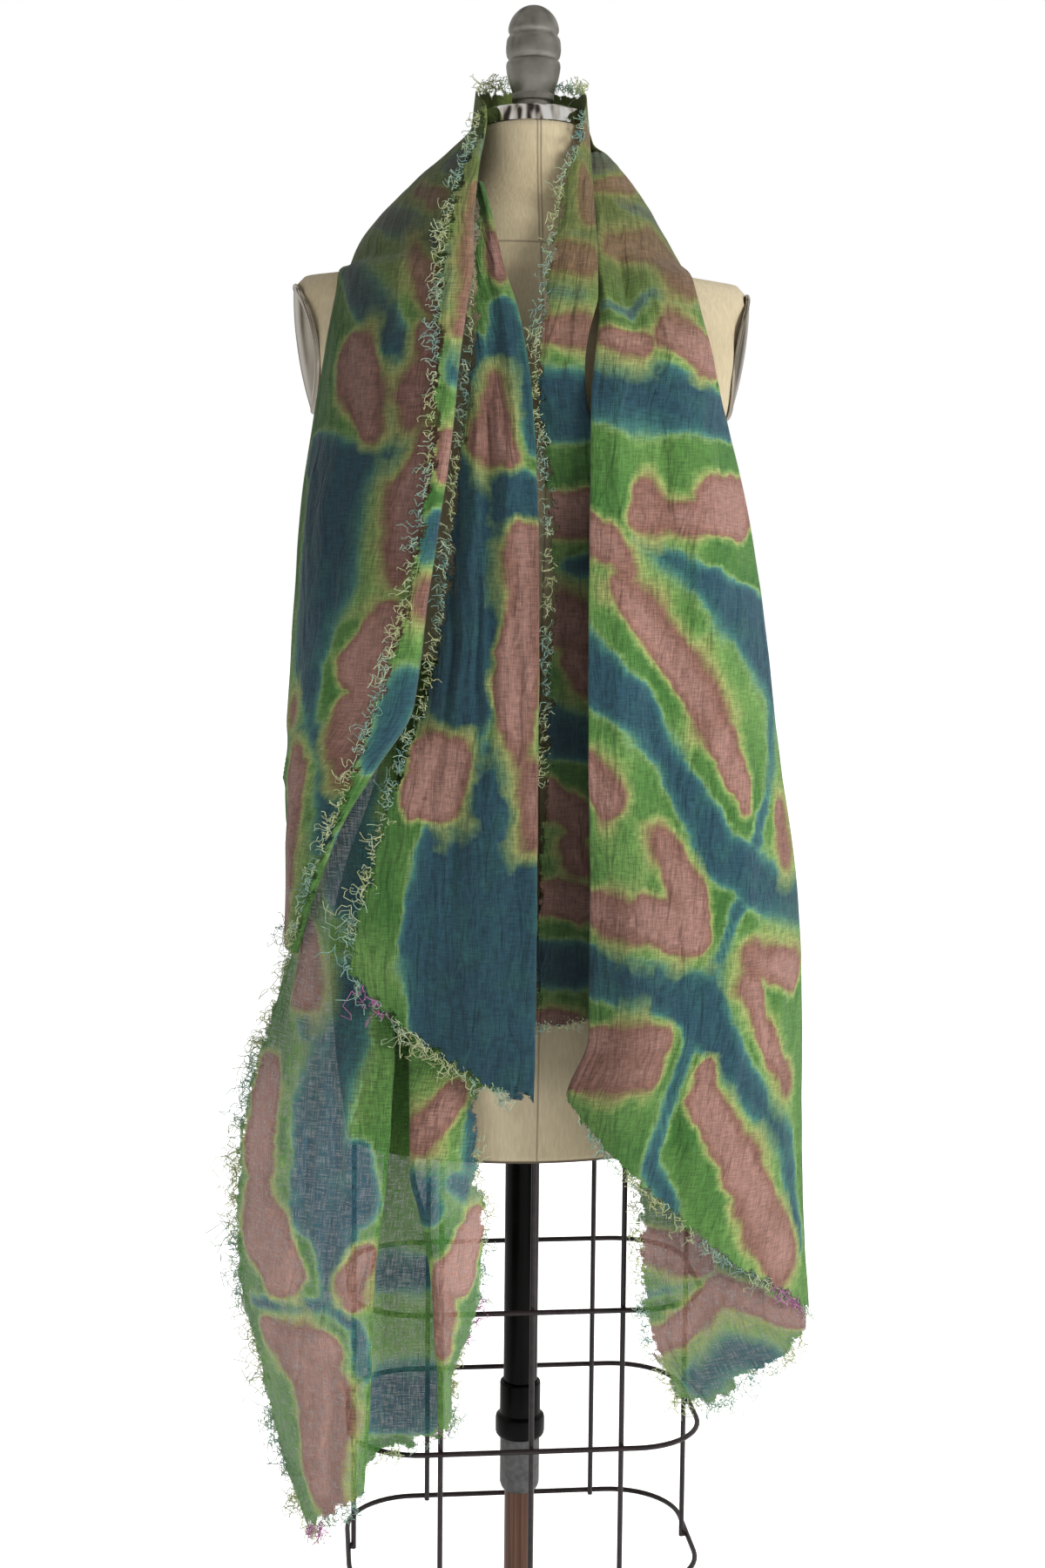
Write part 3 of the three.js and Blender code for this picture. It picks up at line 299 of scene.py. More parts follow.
sideways = add(tree, "Math", (from_middle,), operation="ABSOLUTE")
above_seam = add(tree, "Math", (axes.outputs["Z"], doubled_above), operation="GREATER_THAN")
seam_offset = add(tree, "Math", (above_seam, doubled_spread), operation="MULTIPLY")
off_line = add(tree, "Math", (sideways, seam_offset), operation="SUBTRACT")
line_width = add(tree, "Math", (off_line,), operation="ABSOLUTE")
down_line = add(tree, "MapRange", {"Value": line_width, 1: 0.0003, 2: 0.0011, 3: 1.0, 4: 0.0})
off_neckline = add(tree, "Math", (axes.outputs["Z"], neckline_seam), operation="SUBTRACT")
neckline = add(tree, "Math", (off_neckline,), operation="ABSOLUTE")
across_line = add(tree, "MapRange", {"Value": neckline, 1: 0.0003, 2: 0.0012, 3: 1.0, 4: 0.0})
seams = add(tree, "Math", (down_line, across_line), operation="MAXIMUM")
at_front = add(tree, "Math", (axes.outputs["Y"], 0.0), operation="LESS_THAN")
front_seams = add(tree, "Math", (seams, at_front), operation="MULTIPLY")
edge_line = add(tree, "MapRange", {
    "Value": axes.outputs["Z"], 1: dark_edge, 2: dark_edge + 0.001, 3: 0.9, 4: 0.0})
darkening = add(tree, "Math", (front_seams, 0.5), operation="MULTIPLY")
dark_lines = add(tree, "Math", (darkening, edge_line), operation="MAXIMUM")
sewn = add(tree, "Mix", {0: dark_lines, 6: woven, 7: linear("#4b3a30")}, data_type="RGBA")
grooves = add(tree, "Math", (weave, front_seams), operation="SUBTRACT")
relief = add(tree, "Bump", {"Strength": 0.5, "Distance": 0.0006, "Height": grooves})
feed(shader, {"Base Color": sewn, "Normal": relief, "Roughness": 0.85, "Sheen Weight": 0.15})
placed("body_shell", mesh_of("body_shell", points, faces, form_linen), ["torso"])

# ---------------------------------------------------------------- the neck cap and finial
# A polished steel band closes the neck, and a turned pewter finial stands on it: a narrow foot, a
# ring, a swelling bowl, a bead between two grooves and a domed top.
def crisp_mesh(name, points, faces, material):
    """A mesh with what lies together merged, its faces outwards and edges over 35 degrees crisp."""
    mesh = mesh_of(name, points, faces, material)
    shape = bmesh.new()
    shape.from_mesh(mesh)
    bmesh.ops.remove_doubles(shape, verts=shape.verts, dist=1e-6)
    bmesh.ops.recalc_face_normals(shape, faces=shape.faces)
    shape.to_mesh(mesh)
    shape.free()
    mesh.shade_smooth()
    mesh.set_sharp_from_angle(angle=math.radians(35))
    return mesh


def ring_faces(rings, sides):
    """The four-sided faces between rings of points, one ring after another."""
    faces = []
    for first in range(0, (rings - 1) * sides, sides):
        for k in range(sides):
            a, b = first + k, first + (k + 1) % sides
            faces.append((a, b, b + sides, a + sides))
    return faces


def turned_piece(name, node, profile, material, sides=64, body="form"):
    """A piece turned on a lathe. Its outline of (radius, height) pairs runs from the axis to the axis,
    or closes where it started."""
    angles = [2 * math.pi * k / sides for k in range(sides)]
    points = [(axis_x + radius * math.cos(angle) / 1000, radius * math.sin(angle) / 1000, z / 1000)
              for radius, z in profile for angle in angles]
    mesh = crisp_mesh(name, points, ring_faces(len(profile), sides), material)
    return placed(name, mesh, [node], body)


def rounded(profile, steps):
    """The profile with a smooth curve through its points."""
    corners = np.array(profile, float)
    fine = []
    for k in range(len(corners) - 1):
        before, start, end, after = corners[[max(k - 1, 0), k, k + 1, min(k + 2, len(corners) - 1)]]
        for t in np.arange(steps) / steps:
            bend = (end - before) * 0.5 * (t**3 - 2 * t**2 + t) + (after - start) * 0.5 * (t**3 - t**2)
            fine.append((2 * t**3 - 3 * t**2 + 1) * start + (3 * t**2 - 2 * t**3) * end + bend)
    return [*fine, corners[-1]]


# Chrome mirrors the room, and faint smears from hands blur it in places.
polished_steel, tree, shader = new_material("chromed steel, polished")
where = add(tree, "TexCoord").outputs["Object"]
smears = add(tree, "TexNoise", {"Vector": where, "Scale": 40.0, "Detail": 4.0})
polish = add(tree, "MapRange", {"Value": smears, 1: 0.3, 2: 0.8, 3: 0.05, 4: 0.16})
feed(shader, {"Base Color": linear("#dcdbd8"), "Metallic": 1, "Roughness": polish})

neck_top = 1529.5
cap_radius = 43.6
cap_bottom = neck_top + 0.3
cap_top = cap_bottom + 13
turned_piece("neck_band", "neck_cap", [
    (0, cap_bottom), (cap_radius - 0.5, cap_bottom), (cap_radius, cap_bottom + 0.5),
    (cap_radius, cap_top - 1.2), (cap_radius - 0.35, cap_top - 0.4), (cap_radius - 1.2, cap_top),
    (0, cap_top)], polished_steel, sides=128)

# Pewter is a dull grey, with fine rings from the lathe that spread its shine.
satin_pewter, tree, shader = new_material("pewter, turned and brushed satin")
where = add(tree, "TexCoord").outputs["Object"]
lathe = add(tree, "Mapping", {"Vector": where, "Scale": (60, 60, 2600)})
turning = add(tree, "TexNoise", {"Vector": lathe, "Scale": 1.0, "Detail": 3.0})
patina = add(tree, "TexNoise", {"Vector": where, "Scale": 60.0, "Detail": 5.0})
metal_tone = add(tree, "ValToRGB", {"Fac": patina}, stops=[(0.3, "#838179"), (0.7, "#a09e97")])
brushing = add(tree, "MapRange", {"Value": turning, 1: 0.2, 2: 0.8, 3: 0.3, 4: 0.5})
relief = add(tree, "Bump", {"Strength": 0.25, "Distance": 0.0002, "Height": turning})
feed(shader, {"Base Color": metal_tone, "Roughness": brushing, "Normal": relief, "Metallic": 0.9})

finial_foot = cap_top + 0.3
finial_profile = [
    (15.5, 0), (15.2, 4.5), (15.0, 9), (17.4, 10), (17.6, 12.5), (17.4, 15), (17.1, 16.2), (20.5, 26),
    (22.6, 36), (22.4, 41), (20.6, 43.4), (22.3, 46.8), (23, 51), (22.9, 55), (22.2, 60.2), (20, 63.8),
    (21.2, 67.6), (20.4, 72.6), (17.6, 78.6), (12.4, 84), (6.4, 87.2), (0, 88)]
turned_piece("turned_finial", "finial", [
    (0, finial_foot), *[(radius, finial_foot + z) for radius, z in rounded(finial_profile, 5)]],
    satin_pewter, sides=96)

# ---------------------------------------------------------------- the arm plates
# Round pressed steel plates that close the armholes, once polished and now dulled. Each has a rolled
# rim, is crowned as the body's end is under it, and leans in at its lower end.
plate_half_size = 54
plate_middle = 1345
plate_lean = math.atan2(17, 117)
plate_distance = 182.2
plate_sides = 96
shoulder_lean = -7

# Steel that many hands have dulled, so that it mirrors the room as soft warm grey streaks.
dulled_steel, tree, shader = new_material("pressed steel, polished and dulled by handling")
where = add(tree, "TexCoord").outputs["Object"]
tarnish = add(tree, "TexNoise", {"Vector": where, "Scale": 22.0, "Detail": 4.0})
steel_tone = add(tree, "ValToRGB", {"Fac": tarnish}, stops=[(0.35, "#999081"), (0.65, "#ada597")])
dulling = add(tree, "MapRange", {"Value": tarnish, 1: 0.3, 2: 0.8, 3: 0.12, 4: 0.26})
feed(shader, {"Metallic": 1, "Base Color": steel_tone, "Roughness": dulling})

plate_profile = rounded([
    (0.97, 0), (1, 0.8), (1, 2), (0.985, 3.2), (0.95, 3.9), (0.9, 3.6), (0.84, 4.1), (0.6, 5.7),
    (0.3, 6.9), (0, 7.2)], 3)
for side, node in ((-1, "arm_plate_left"), (1, "arm_plate_right")):
    points = []
    profile = [(0, 0), *plate_profile]
    for share, out in profile:
        for k in range(plate_sides):
            angle = 2 * math.pi * k / plate_sides
            up = share * plate_half_size * math.cos(angle)
            y = share * plate_half_size * math.sin(angle)
            crown = armhole_crown * y**2
            x = side * (out * math.cos(plate_lean) + up * math.sin(plate_lean) - crown)
            z = up * math.cos(plate_lean) - out * math.sin(plate_lean)
            points.append((
                axis_x + (shoulder_lean + side * plate_distance + x) / 1000,
                y / 1000, (plate_middle + z) / 1000))
    name = node.replace("arm_plate", "armhole_disc")
    plate = crisp_mesh(name, points, ring_faces(len(profile), plate_sides), dulled_steel)
    placed(name, plate, [node])

# ---------------------------------------------------------------- the stand
# A cast iron foot with a hub, a bronze-brown lacquered tube that slides inside a black enamelled
# mast, and a clamp at the mast's foot: a black flanged collar over a grey sleeve.

# Baked enamel: nearly black, with a weak soft gloss that old scuffs break up.
black_enamel, tree, shader = new_material("black enamel on drawn tube, semi-gloss")
where = add(tree, "TexCoord").outputs["Object"]
scuffs = add(tree, "TexNoise", {"Vector": where, "Scale": 30.0, "Detail": 6.0})
enamel_tone = add(tree, "ValToRGB", {"Fac": scuffs}, stops=[(0.45, "#040405"), (0.75, "#0b0b0c")])
gloss = add(tree, "MapRange", {"Value": scuffs, 1: 0.3, 2: 0.8, 3: 0.28, 4: 0.5})
feed(shader, {"Base Color": enamel_tone, "Roughness": gloss, "Specular IOR Level": 0.12})

turned_piece("mast_tube", "mast", [
    (13.6, 402), (14.6, 402), (15, 402.5), (15, 990), (0, 990), (0, 982), (13.6, 982), (13.6, 402)],
    black_enamel)
turned_piece("clamp_ring", "clamp_collar", [
    (15.35, 397), (20.4, 397), (21.4, 398.6), (21.8, 401), (21.8, 412), (21.2, 414.6), (19.4, 415.8),
    (18.2, 417), (18, 420), (18, 444), (17.6, 445.4), (17, 446), (15.35, 446), (15.35, 397)],
    black_enamel)

# Sprayed grey paint: an even satin with a fine orange-peel grain.
grey_paint, tree, shader = new_material("grey paint on steel, satin")
where = add(tree, "TexCoord").outputs["Object"]
specks = add(tree, "TexNoise", {"Vector": where, "Scale": 220.0, "Detail": 4.0})
paint_tone = add(tree, "ValToRGB", {"Fac": specks}, stops=[(0.3, "#4c4c4d"), (0.7, "#686868")])
relief = add(tree, "Bump", {"Strength": 0.2, "Distance": 0.0002, "Height": specks})
feed(shader, {"Base Color": paint_tone, "Normal": relief, "Roughness": 0.5, "Metallic": 0.2})

turned_piece("clamp_sleeve_tube", "clamp_sleeve", [
    (13.6, 350), (15, 347), (16.4, 349.4), (17.5, 353), (17.5, 396.7), (13.6, 396.7), (13.6, 350)],
    grey_paint)

# Lacquer over drawn tube: warm brown, with long streaks where the sliding has rubbed it.
bronze_lacquer, tree, shader = new_material("bronze-brown lacquer on steel tube, drawn")
where = add(tree, "TexCoord").outputs["Object"]
drawn = add(tree, "Mapping", {"Vector": where, "Scale": (420, 420, 6)})
streaks = add(tree, "TexNoise", {"Vector": drawn, "Scale": 1.0, "Detail": 3.0})
lacquer = add(tree, "ValToRGB", {"Fac": streaks}, stops=[
    (0.25, "#3f2a22"), (0.5, "#5f4336"), (0.75, "#83614c")])
feed(shader, {"Base Color": lacquer, "Metallic": 0.6, "Roughness": 0.35})

turned_piece("sliding_tube", "lower_tube", [
    (0, 12.3), (13.2, 12.3), (13.2, 699.6), (12.8, 700), (0, 700)], bronze_lacquer, body="stand")

# Brushed black paint on a rough casting: matt and dusty, with the sand's grain showing through.
cast_paint, tree, shader = new_material("black paint on cast iron, matt")
where = add(tree, "TexCoord").outputs["Object"]
grit = add(tree, "TexNoise", {"Vector": where, "Scale": 260.0, "Detail": 5.0})
dusty = add(tree, "TexNoise", {"Vector": where, "Scale": 12.0, "Detail": 4.0})
iron_tone = add(tree, "ValToRGB", {"Fac": dusty}, stops=[(0.35, "#161517"), (0.75, "#2a282a")])
relief = add(tree, "Bump", {"Strength": 0.5, "Distance": 0.0005, "Height": grit})
feed(shader, {"Base Color": iron_tone, "Normal": relief, "Roughness": 0.6})

turned_piece("iron_foot", "base_plate", [
    (0, 0), *rounded([
        (211, 0), (214, 1), (215, 4), (214.6, 8), (212, 11.4), (206, 12.6), (170, 16.2), (120, 20),
        (60, 30), (40, 35.6), (32, 42), (28.4, 48), (27, 54)], 4),
    (27, 70.8), (26, 72), (13.6, 72), (13.6, 12), (0, 12)], cast_paint, sides=128, body="stand")

# ---------------------------------------------------------------- the cage
# Steel wire of 4.5 mm, bent to three rounded hoops and welded to eight uprights, then dipped in dark
# brown-black enamel. The welds leave small lumps where the wires cross.
wire_radius = 2.25
cage_half_width = 152.5
cage_half_depth = 97
cage_corner = 62
cage_hoops = {"top": 542, "middle": 421, "bottom": 298}
wire_inset = 2 * wire_radius + 0.3
side_wire = cage_half_width - wire_inset
face_wire = cage_half_depth - wire_inset
uprights = {
    "front": (0, -face_wire), "front_left": (-77, -face_wire), "front_right": (77, -face_wire),
    "left": (-side_wire, 0), "right": (side_wire, 0), "back_left": (-77, face_wire),
    "back_right": (77, face_wire), "back": (0, face_wire)}

# Dipped enamel: dark brown-black and satin, faintly uneven where it ran.
cage_enamel, tree, shader = new_material("dark enamel on steel wire, dipped")
where = add(tree, "TexCoord").outputs["Object"]
runs = add(tree, "TexNoise", {"Vector": where, "Scale": 120.0, "Detail": 3.0})
dip_tone = add(tree, "ValToRGB", {"Fac": runs}, stops=[(0.35, "#170f12"), (0.75, "#2e2023")])
relief = add(tree, "Bump", {"Strength": 0.3, "Distance": 0.0003, "Height": runs})
feed(shader, {"Base Color": dip_tone, "Normal": relief, "Roughness": 0.4})


def growing_tree(name, base, result, **sizes):
    """A geometry tree from a base to a result with named sizes as its inputs, and its first node."""
    tree = bpy.data.node_groups.new(name, "GeometryNodeTree")
    tree.interface.new_socket(base, in_out="INPUT", socket_type="NodeSocketGeometry")
    for label, size in sizes.items():
        socket = tree.interface.new_socket(
            label.replace("_", " "), in_out="INPUT", socket_type="NodeSocketFloat")
        socket.default_value = size
    tree.interface.new_socket(result, in_out="OUTPUT", socket_type="NodeSocketGeometry")
    return tree, add(tree, "NodeGroupInput")


def end_tree(tree, last, material):
    """Ends a geometry tree after its last node with real geometry of one material."""
    real = add(tree, "GeometryNodeRealizeInstances", (last,))
    finished = add(tree, "GeometryNodeSetMaterial", {0: real, "Material": material})
    add(tree, "NodeGroupOutput", (finished,))


def grown(name, nodes, slot, roots, tree, **sizes):
    """The plain mesh that a tree grows on a mesh of roots, as a piece that rides with the form."""
    root_object = bpy.data.objects.new(name + "_roots", roots)
    scene.collection.objects.link(root_object)
    modifier = root_object.modifiers.new("grow", "NODES")
    modifier.node_group = tree
    for item in tree.interface.items_tree:
        label = item.name.replace(" ", "_")
        if item.in_out == "INPUT" and label in sizes:
            modifier[item.identifier] = sizes[label]
    bpy.context.view_layer.update()
    ready = root_object.evaluated_get(bpy.context.evaluated_depsgraph_get())
    mesh = bpy.data.meshes.new_from_object(ready)
    mesh.name = name
    root_object.modifiers.remove(modifier)
    bpy.data.objects.remove(root_object)
    return placed(name, mesh, nodes)


def line_mesh(name, points, edges=()):
    """A mesh of bare points and edges, in metres."""
    mesh = bpy.data.meshes.new(name)
    mesh.from_pydata([tuple(p) for p in points], edges, [])
    return mesh


cage_tree, start = growing_tree("cage wire", "Line", "Wire", Wire_radius=wire_radius / 1000)
line = add(cage_tree, "GeometryNodeMeshToCurve", (start.outputs["Line"],))
section = add(cage_tree, "GeometryNodeCurvePrimitiveCircle", {
    "Resolution": 12, "Radius": start.outputs["Wire radius"]})
tube = add(cage_tree, "GeometryNodeCurveToMesh", {
    "Curve": line, "Profile Curve": section, "Fill Caps": True})
end_tree(cage_tree, add(cage_tree, "GeometryNodeSetShadeSmooth", (tube,)), cage_enamel)
points, edges = [], []
straight_x = cage_half_width - cage_corner
straight_y = cage_half_depth - cage_corner
corner_steps = 12
for z in cage_hoops.values():
    first = len(points)
    for corner, (sign_x, sign_y) in enumerate(((1, 1), (-1, 1), (-1, -1), (1, -1))):
        for k in range(corner_steps + 1):
            angle = math.pi / 2 * (corner + k / corner_steps)
            points.append((
                axis_x + (sign_x * straight_x + cage_corner * math.cos(angle)) / 1000,
                (sign_y * straight_y + cage_corner * math.sin(angle)) / 1000, z / 1000))
    count = len(points) - first
    edges += [(first + k, first + (k + 1) % count) for k in range(count)]
grown("cage_hoops", [f"cage_hoop_{name}" for name in cage_hoops], "cage_enamel",
      line_mesh("hoop_lines", points, edges), cage_tree)

wire_ends = (cage_hoops["bottom"] - wire_radius, torso_bottom - 0.3)
points = [(axis_x + x / 1000, y / 1000, z / 1000) for x, y in uprights.values() for z in wire_ends]
edges = [(k, k + 1) for k in range(0, len(points), 2)]
grown("cage_uprights", [f"cage_wire_{name}" for name in uprights], "cage_enamel",
      line_mesh("upright_lines", points, edges), cage_tree)

weld_tree, start = growing_tree("cage welds", "Crossings", "Welds", Weld_radius=0.0028)
lump = add(weld_tree, "GeometryNodeMeshIcoSphere", {
    "Radius": start.outputs["Weld radius"], "Subdivisions": 3})
end_tree(weld_tree, add(weld_tree, "GeometryNodeInstanceOnPoints", {
    "Points": start.outputs["Crossings"], "Instance": lump}), cage_enamel)
weld_inset = wire_inset / 2
crossings = [
    (axis_x + (x + math.copysign(weld_inset, x) * (abs(x) > 100)) / 1000,
     (y + math.copysign(weld_inset, y) * (abs(y) > 50)) / 1000, z / 1000)
    for x, y in uprights.values() for z in cage_hoops.values()]
welds = grown("cage_welds", [], "cage_enamel", line_mesh("crossings", crossings), weld_tree)
welds.data.shade_smooth()

# ---------------------------------------------------------------- the shawl over the back
# One rectangle of loosely woven gauzy linen, 0.7 m by 2.1 m, raw at every edge and folded in half
# along its length. It was folded, clamped between blocks and dipped in navy, green and mauve, which
# leaves bands and lozenges with pale halos. Over the back the two layers lie together.
seam = 0.3
drape_turn = math.radians(-6)
fold_turn = 5
ridge_y = -5
gauze_wall = 0.6
cloth_step = 4.2
dye_reach = 60.0
back_slant = 0.13


def drape(plan_at, levels, top, hem, zero):
    """A stretch of cloth as a fine grid in metres, the length across it from its zero plan point, its
    heights and its columns' places among the plan points, which it passes as its solid does."""
    spans = len(top) - 1
    rows = int((levels[0] - levels[1]) / cloth_step) + 1
    share = np.linspace(0, 1, rows)
    course = np.array(plan_at(np.linspace(levels[0], levels[1], rows)))
    lengths = np.linalg.norm(np.diff(course, axis=0), axis=1).max(axis=1)
    plan, heights, places = [], [], []
    for k in range(spans):
        strips = max(2, int(lengths[k] / cloth_step))
        for t in np.arange(strips + (k == spans - 1)) / strips:
            start, end = (np.interp(k + t, range(spans + 1), line) for line in (top, hem))
            z = (1 - share) * start + share * end
            course = np.array(plan_at(z))
            ends = np.concatenate([2 * course[:1] - course[1:2], course, 2 * course[-1:] - course[-2:-1]])
            p0, p1, p2, p3 = ends[k:k + 4]
            d0, d1, d2 = (np.maximum(np.linalg.norm(b - a, axis=0), 1e-4) ** 0.5
                          for a, b in ((p0, p1), (p1, p2), (p2, p3)))
            bend1 = d1 * ((p1 - p0) / d0 - (p2 - p0) / (d0 + d1) + (p2 - p1) / d1)
            bend2 = d1 * ((p2 - p1) / d1 - (p3 - p1) / (d1 + d2) + (p3 - p2) / d2)
            plan.append(p1 + bend1 * t + (3 * (p2 - p1) - 2 * bend1 - bend2) * t**2
                        + (2 * (p1 - p2) + bend1 + bend2) * t**3)
            heights.append(z)
            places.append(k + t)
    plan = np.array(plan).transpose(2, 0, 1)
    z = np.array(heights).T
    steps = np.hypot(np.linalg.norm(np.diff(plan, axis=1), axis=2), np.diff(z, axis=1))
    across = np.concatenate([np.zeros((rows, 1)), np.cumsum(steps, axis=1)], axis=1)
    across -= across[:, [int(np.argmin(np.abs(np.array(places) - zero)))]]
    turn = np.array([[math.cos(drape_turn), -math.sin(drape_turn)],
                     [math.sin(drape_turn), math.cos(drape_turn)]])
    grid = np.dstack([plan @ turn.T / 1000, z / 1000])
    grid[:, :, 0] += axis_x
    return SimpleNamespace(grid=grid, across=across, z=z, places=np.array(places))


def facing(grid):
    """The unit normals of a grid, pointing away from the mast."""
    normals = np.cross(np.gradient(grid, axis=1), np.gradient(grid, axis=0))
    normals /= np.maximum(np.linalg.norm(normals, axis=2), 1e-12)[:, :, None]
    outward = (normals[:, :, :2] * (grid[:, :, :2] - (axis_x, 0))).sum() > 0
    return normals if outward else -normals


def creased(stretch, creases, ruffle):
    """The grid with soft ridges, and troughs where the height is negative, each from one place to
    another with its own width, that die away at their ends, and a faint unevenness all over."""
    across, z = stretch.across, stretch.z
    shift = np.zeros(z.shape)
    wander = 3 * np.sin(z / 31 + across / 47) + 1.6 * np.sin(z / 13 - across / 19)
    for across1, z1, across2, z2, width, height in creases:
        run, rise = across2 - across1, z2 - z1
        length = math.hypot(run, rise)
        along = ((across - across1) * run + (z - z1) * rise) / length
        away = ((across - across1) * rise - (z - z1) * run) / length + wander
        ends = np.clip(along / (0.3 * length), 0, 1) * np.clip((length - along) / (0.3 * length), 0, 1)
        shift += height * np.exp(-(away / width) ** 2) * np.clip(ends, 0, 1) ** 0.7
    uneven = np.sin(z / 17 + 1.3 * np.sin(across / 11)) * np.sin(across / 9 + 1.1 * np.sin(z / 23))
    shift += ruffle * uneven
    return stretch.grid + facing(stretch.grid) * (shift / 1000)[:, :, None]


def rising(value, low, high):
    """A share that goes from 0 at low to 1 at high."""
    return np.clip((value - low) / (high - low), 0, 1)


def dyed(stretch, dye, colour):
    """How far each place is from the strokes of a colour, in millimetres and negative inside. A line
    of the dye is a colour and the stroke's places: length across, height and half width."""
    nearest = np.full(stretch.z.shape, dye_reach)
    for line in dye.strip().splitlines():
        kind, course = line.split(" ", 1)
        stops = [[float(number) for number in stop.split()] for stop in course.split(",")]
        if kind != colour:
            continue
        for (across1, z1, half1), (across2, z2, half2) in zip(stops, stops[1:]):
            across, z = stretch.across - across1, stretch.z - z1
            run, rise = across2 - across1, z2 - z1
            share = np.clip((across * run + z * rise) / (run**2 + rise**2), 0, 1)
            away = np.hypot(across - share * run, z - share * rise)
            nearest = np.minimum(nearest, away - (half1 + share * (half2 - half1)))
    return nearest


def from_raw_edges(stretch, sides):
    """How far each place is from the nearest of the named raw edges, in millimetres."""
    across, z = stretch.across, stretch.z
    distances = {
        "first": across - across[:, :1],
        "last": across[:, -1:] - across,
        "top": z[:1] - z,
        "foot": z - z[-1:],
    }
    return np.minimum.reduce([distances[side] for side in sides] + [np.full(z.shape, dye_reach)])


def cloth_piece(name, node, stretch, dye, creases, raw, ruffle=0.35, sheer=0.0, olive=0.0, depth=0.0):
    """A thin shell of dyed linen on a stretch, frayed along the named raw edges. Its dye, its
    sheerness, its olive cast and its depth, which is painted shade that darkens its colours and painted
    light where negative, go with its points."""
    grid = creased(stretch, creases, ruffle)
    rows, columns = stretch.z.shape
    index = np.arange(rows * columns).reshape(rows, columns)
    quads = np.stack([index[:-1, :-1], index[1:, :-1], index[1:, 1:], index[:-1, 1:]], axis=-1)
    normals = np.cross(np.gradient(grid, axis=1), np.gradient(grid, axis=0))
    if (normals * facing(grid)).sum() > 0:
        quads = quads[:, :, ::-1]
    mesh = mesh_of(name, grid.reshape(-1, 3), quads.reshape(-1, 4).tolist(), dyed_linen)
    corners = np.zeros(len(mesh.loops), int)
    mesh.loops.foreach_get("vertex_index", corners)
    lay = np.stack([stretch.across.ravel(), stretch.z.ravel()], axis=1)[corners] / 1000
    mesh.uv_layers.new(name="lay").data.foreach_set("uv", lay.astype(np.float32).ravel())
    fields = {
        "navy": dyed(stretch, dye, "navy"),
        "mauve": dyed(stretch, dye, "mauve"),
        "sheer": sheer + 0 * stretch.z,
        "olive": olive + 0 * stretch.z,
        "depth": depth + 0 * stretch.z,
        "inside": from_raw_edges(stretch, raw),
    }
    for field, values in fields.items():
        layer = mesh.attributes.new(field, "FLOAT", "POINT")
        layer.data.foreach_set("value", values.astype(np.float32).ravel())
    piece = placed(name, mesh, [node])
    shell = piece.modifiers.new("shell", "SOLIDIFY")
    shell.thickness = gauze_wall / 1000
    shell.offset = 0
    return piece


# Gauze of loosely woven slubby linen. Its threads lie closer than 1 mm and are drawn about 1 mm
# apart, so that they show as crossed streaks of uneven yarn. The dye has bled along them in pale
# halos, and single layers let light through between them.
dyed_linen, tree, shader = new_material("gauzy linen, fold-dyed in navy, green and mauve")
lay = add(tree, "UVMap", uv_map="lay")
fields = {name: add(tree, "Attribute", attribute_name=name).outputs["Fac"]
          for name in ("navy", "mauve", "sheer", "olive", "depth", "inside")}
bleed, creep, broad = (
    add(tree, "TexNoise", {"Vector": lay, "Scale": scale, "Detail": detail}, noise_dimensions="2D")
    for scale, detail in ((38.0, 2.0), (190.0, 2.0), (11.0, 3.0)))
bleed_far = add(tree, "Math", (bleed, 12.0, -9.5), operation="MULTIPLY_ADD")
edge_wander = add(tree, "Math", (creep, 4.0, bleed_far), operation="MULTIPLY_ADD")
navy_edge = add(tree, "Math", (fields["navy"], edge_wander), operation="ADD")
mauve_edge = add(tree, "Math", (fields["mauve"], edge_wander), operation="ADD")
crispness = add(tree, "MapRange", {"Value": broad, 1: 0.4, 2: 0.6, 3: 2.6, 4: 0.8})
navy_halo = add(tree, "Math", (navy_edge, crispness), operation="MULTIPLY")
mauve_halo = add(tree, "Math", (mauve_edge, crispness), operation="MULTIPLY")
navy_reach = add(tree, "MapRange", {"Value": navy_halo, 1: -20.0, 2: 40.0})
mauve_reach = add(tree, "MapRange", {"Value": mauve_halo, 1: -27.0, 2: 54.0})
ground = add(tree, "ValToRGB", {"Fac": broad}, stops=[
    (0.3, "#3d6a30"), (0.5, "#557f3f"), (0.7, "#6f9850")])
navy_tones = add(tree, "ValToRGB", {"Fac": navy_reach}, stops=[
    (0.08, "#294b58"), (0.27, "#335e62"), (0.36, "#477a6f"), (0.44, "#739a68"), (0.52, "#7c9a58"),
    (0.62, "#5d8a45")])
navy_cover = add(tree, "ValToRGB", {"Fac": navy_reach}, stops=[
    (0.42, (1, 1, 1, 1)), (0.62, (0, 0, 0, 1))])
teal_share = add(tree, "MapRange", {"Value": bleed, 1: 0.48, 2: 0.72, 4: 0.3})
navy_mottled = add(tree, "Mix", {0: teal_share, 6: navy_tones, 7: linear("#35695f")}, data_type="RGBA")
with_navy = add(tree, "Mix", {0: navy_cover, 6: ground, 7: navy_mottled}, data_type="RGBA")
mauve_tones = add(tree, "ValToRGB", {"Fac": mauve_reach}, stops=[
    (0.16, "#9a756a"), (0.33, "#876154"), (0.37, "#8b7d55"), (0.42, "#9ba263"), (0.54, "#7fa058")])
mauve_cover = add(tree, "ValToRGB", {"Fac": mauve_reach}, stops=[
    (0.4, (1, 1, 1, 1)), (0.6, (0, 0, 0, 1))])
with_mauve = add(tree, "Mix", {0: mauve_cover, 6: with_navy, 7: mauve_tones}, data_type="RGBA")
olive_share = add(tree, "Math", (fields["olive"], 0.5), operation="MULTIPLY")
with_olive = add(tree, "Mix", {0: olive_share, 6: with_mauve, 7: linear("#6d6336")}, data_type="RGBA")
threads_across = 900
slubs_along = 80
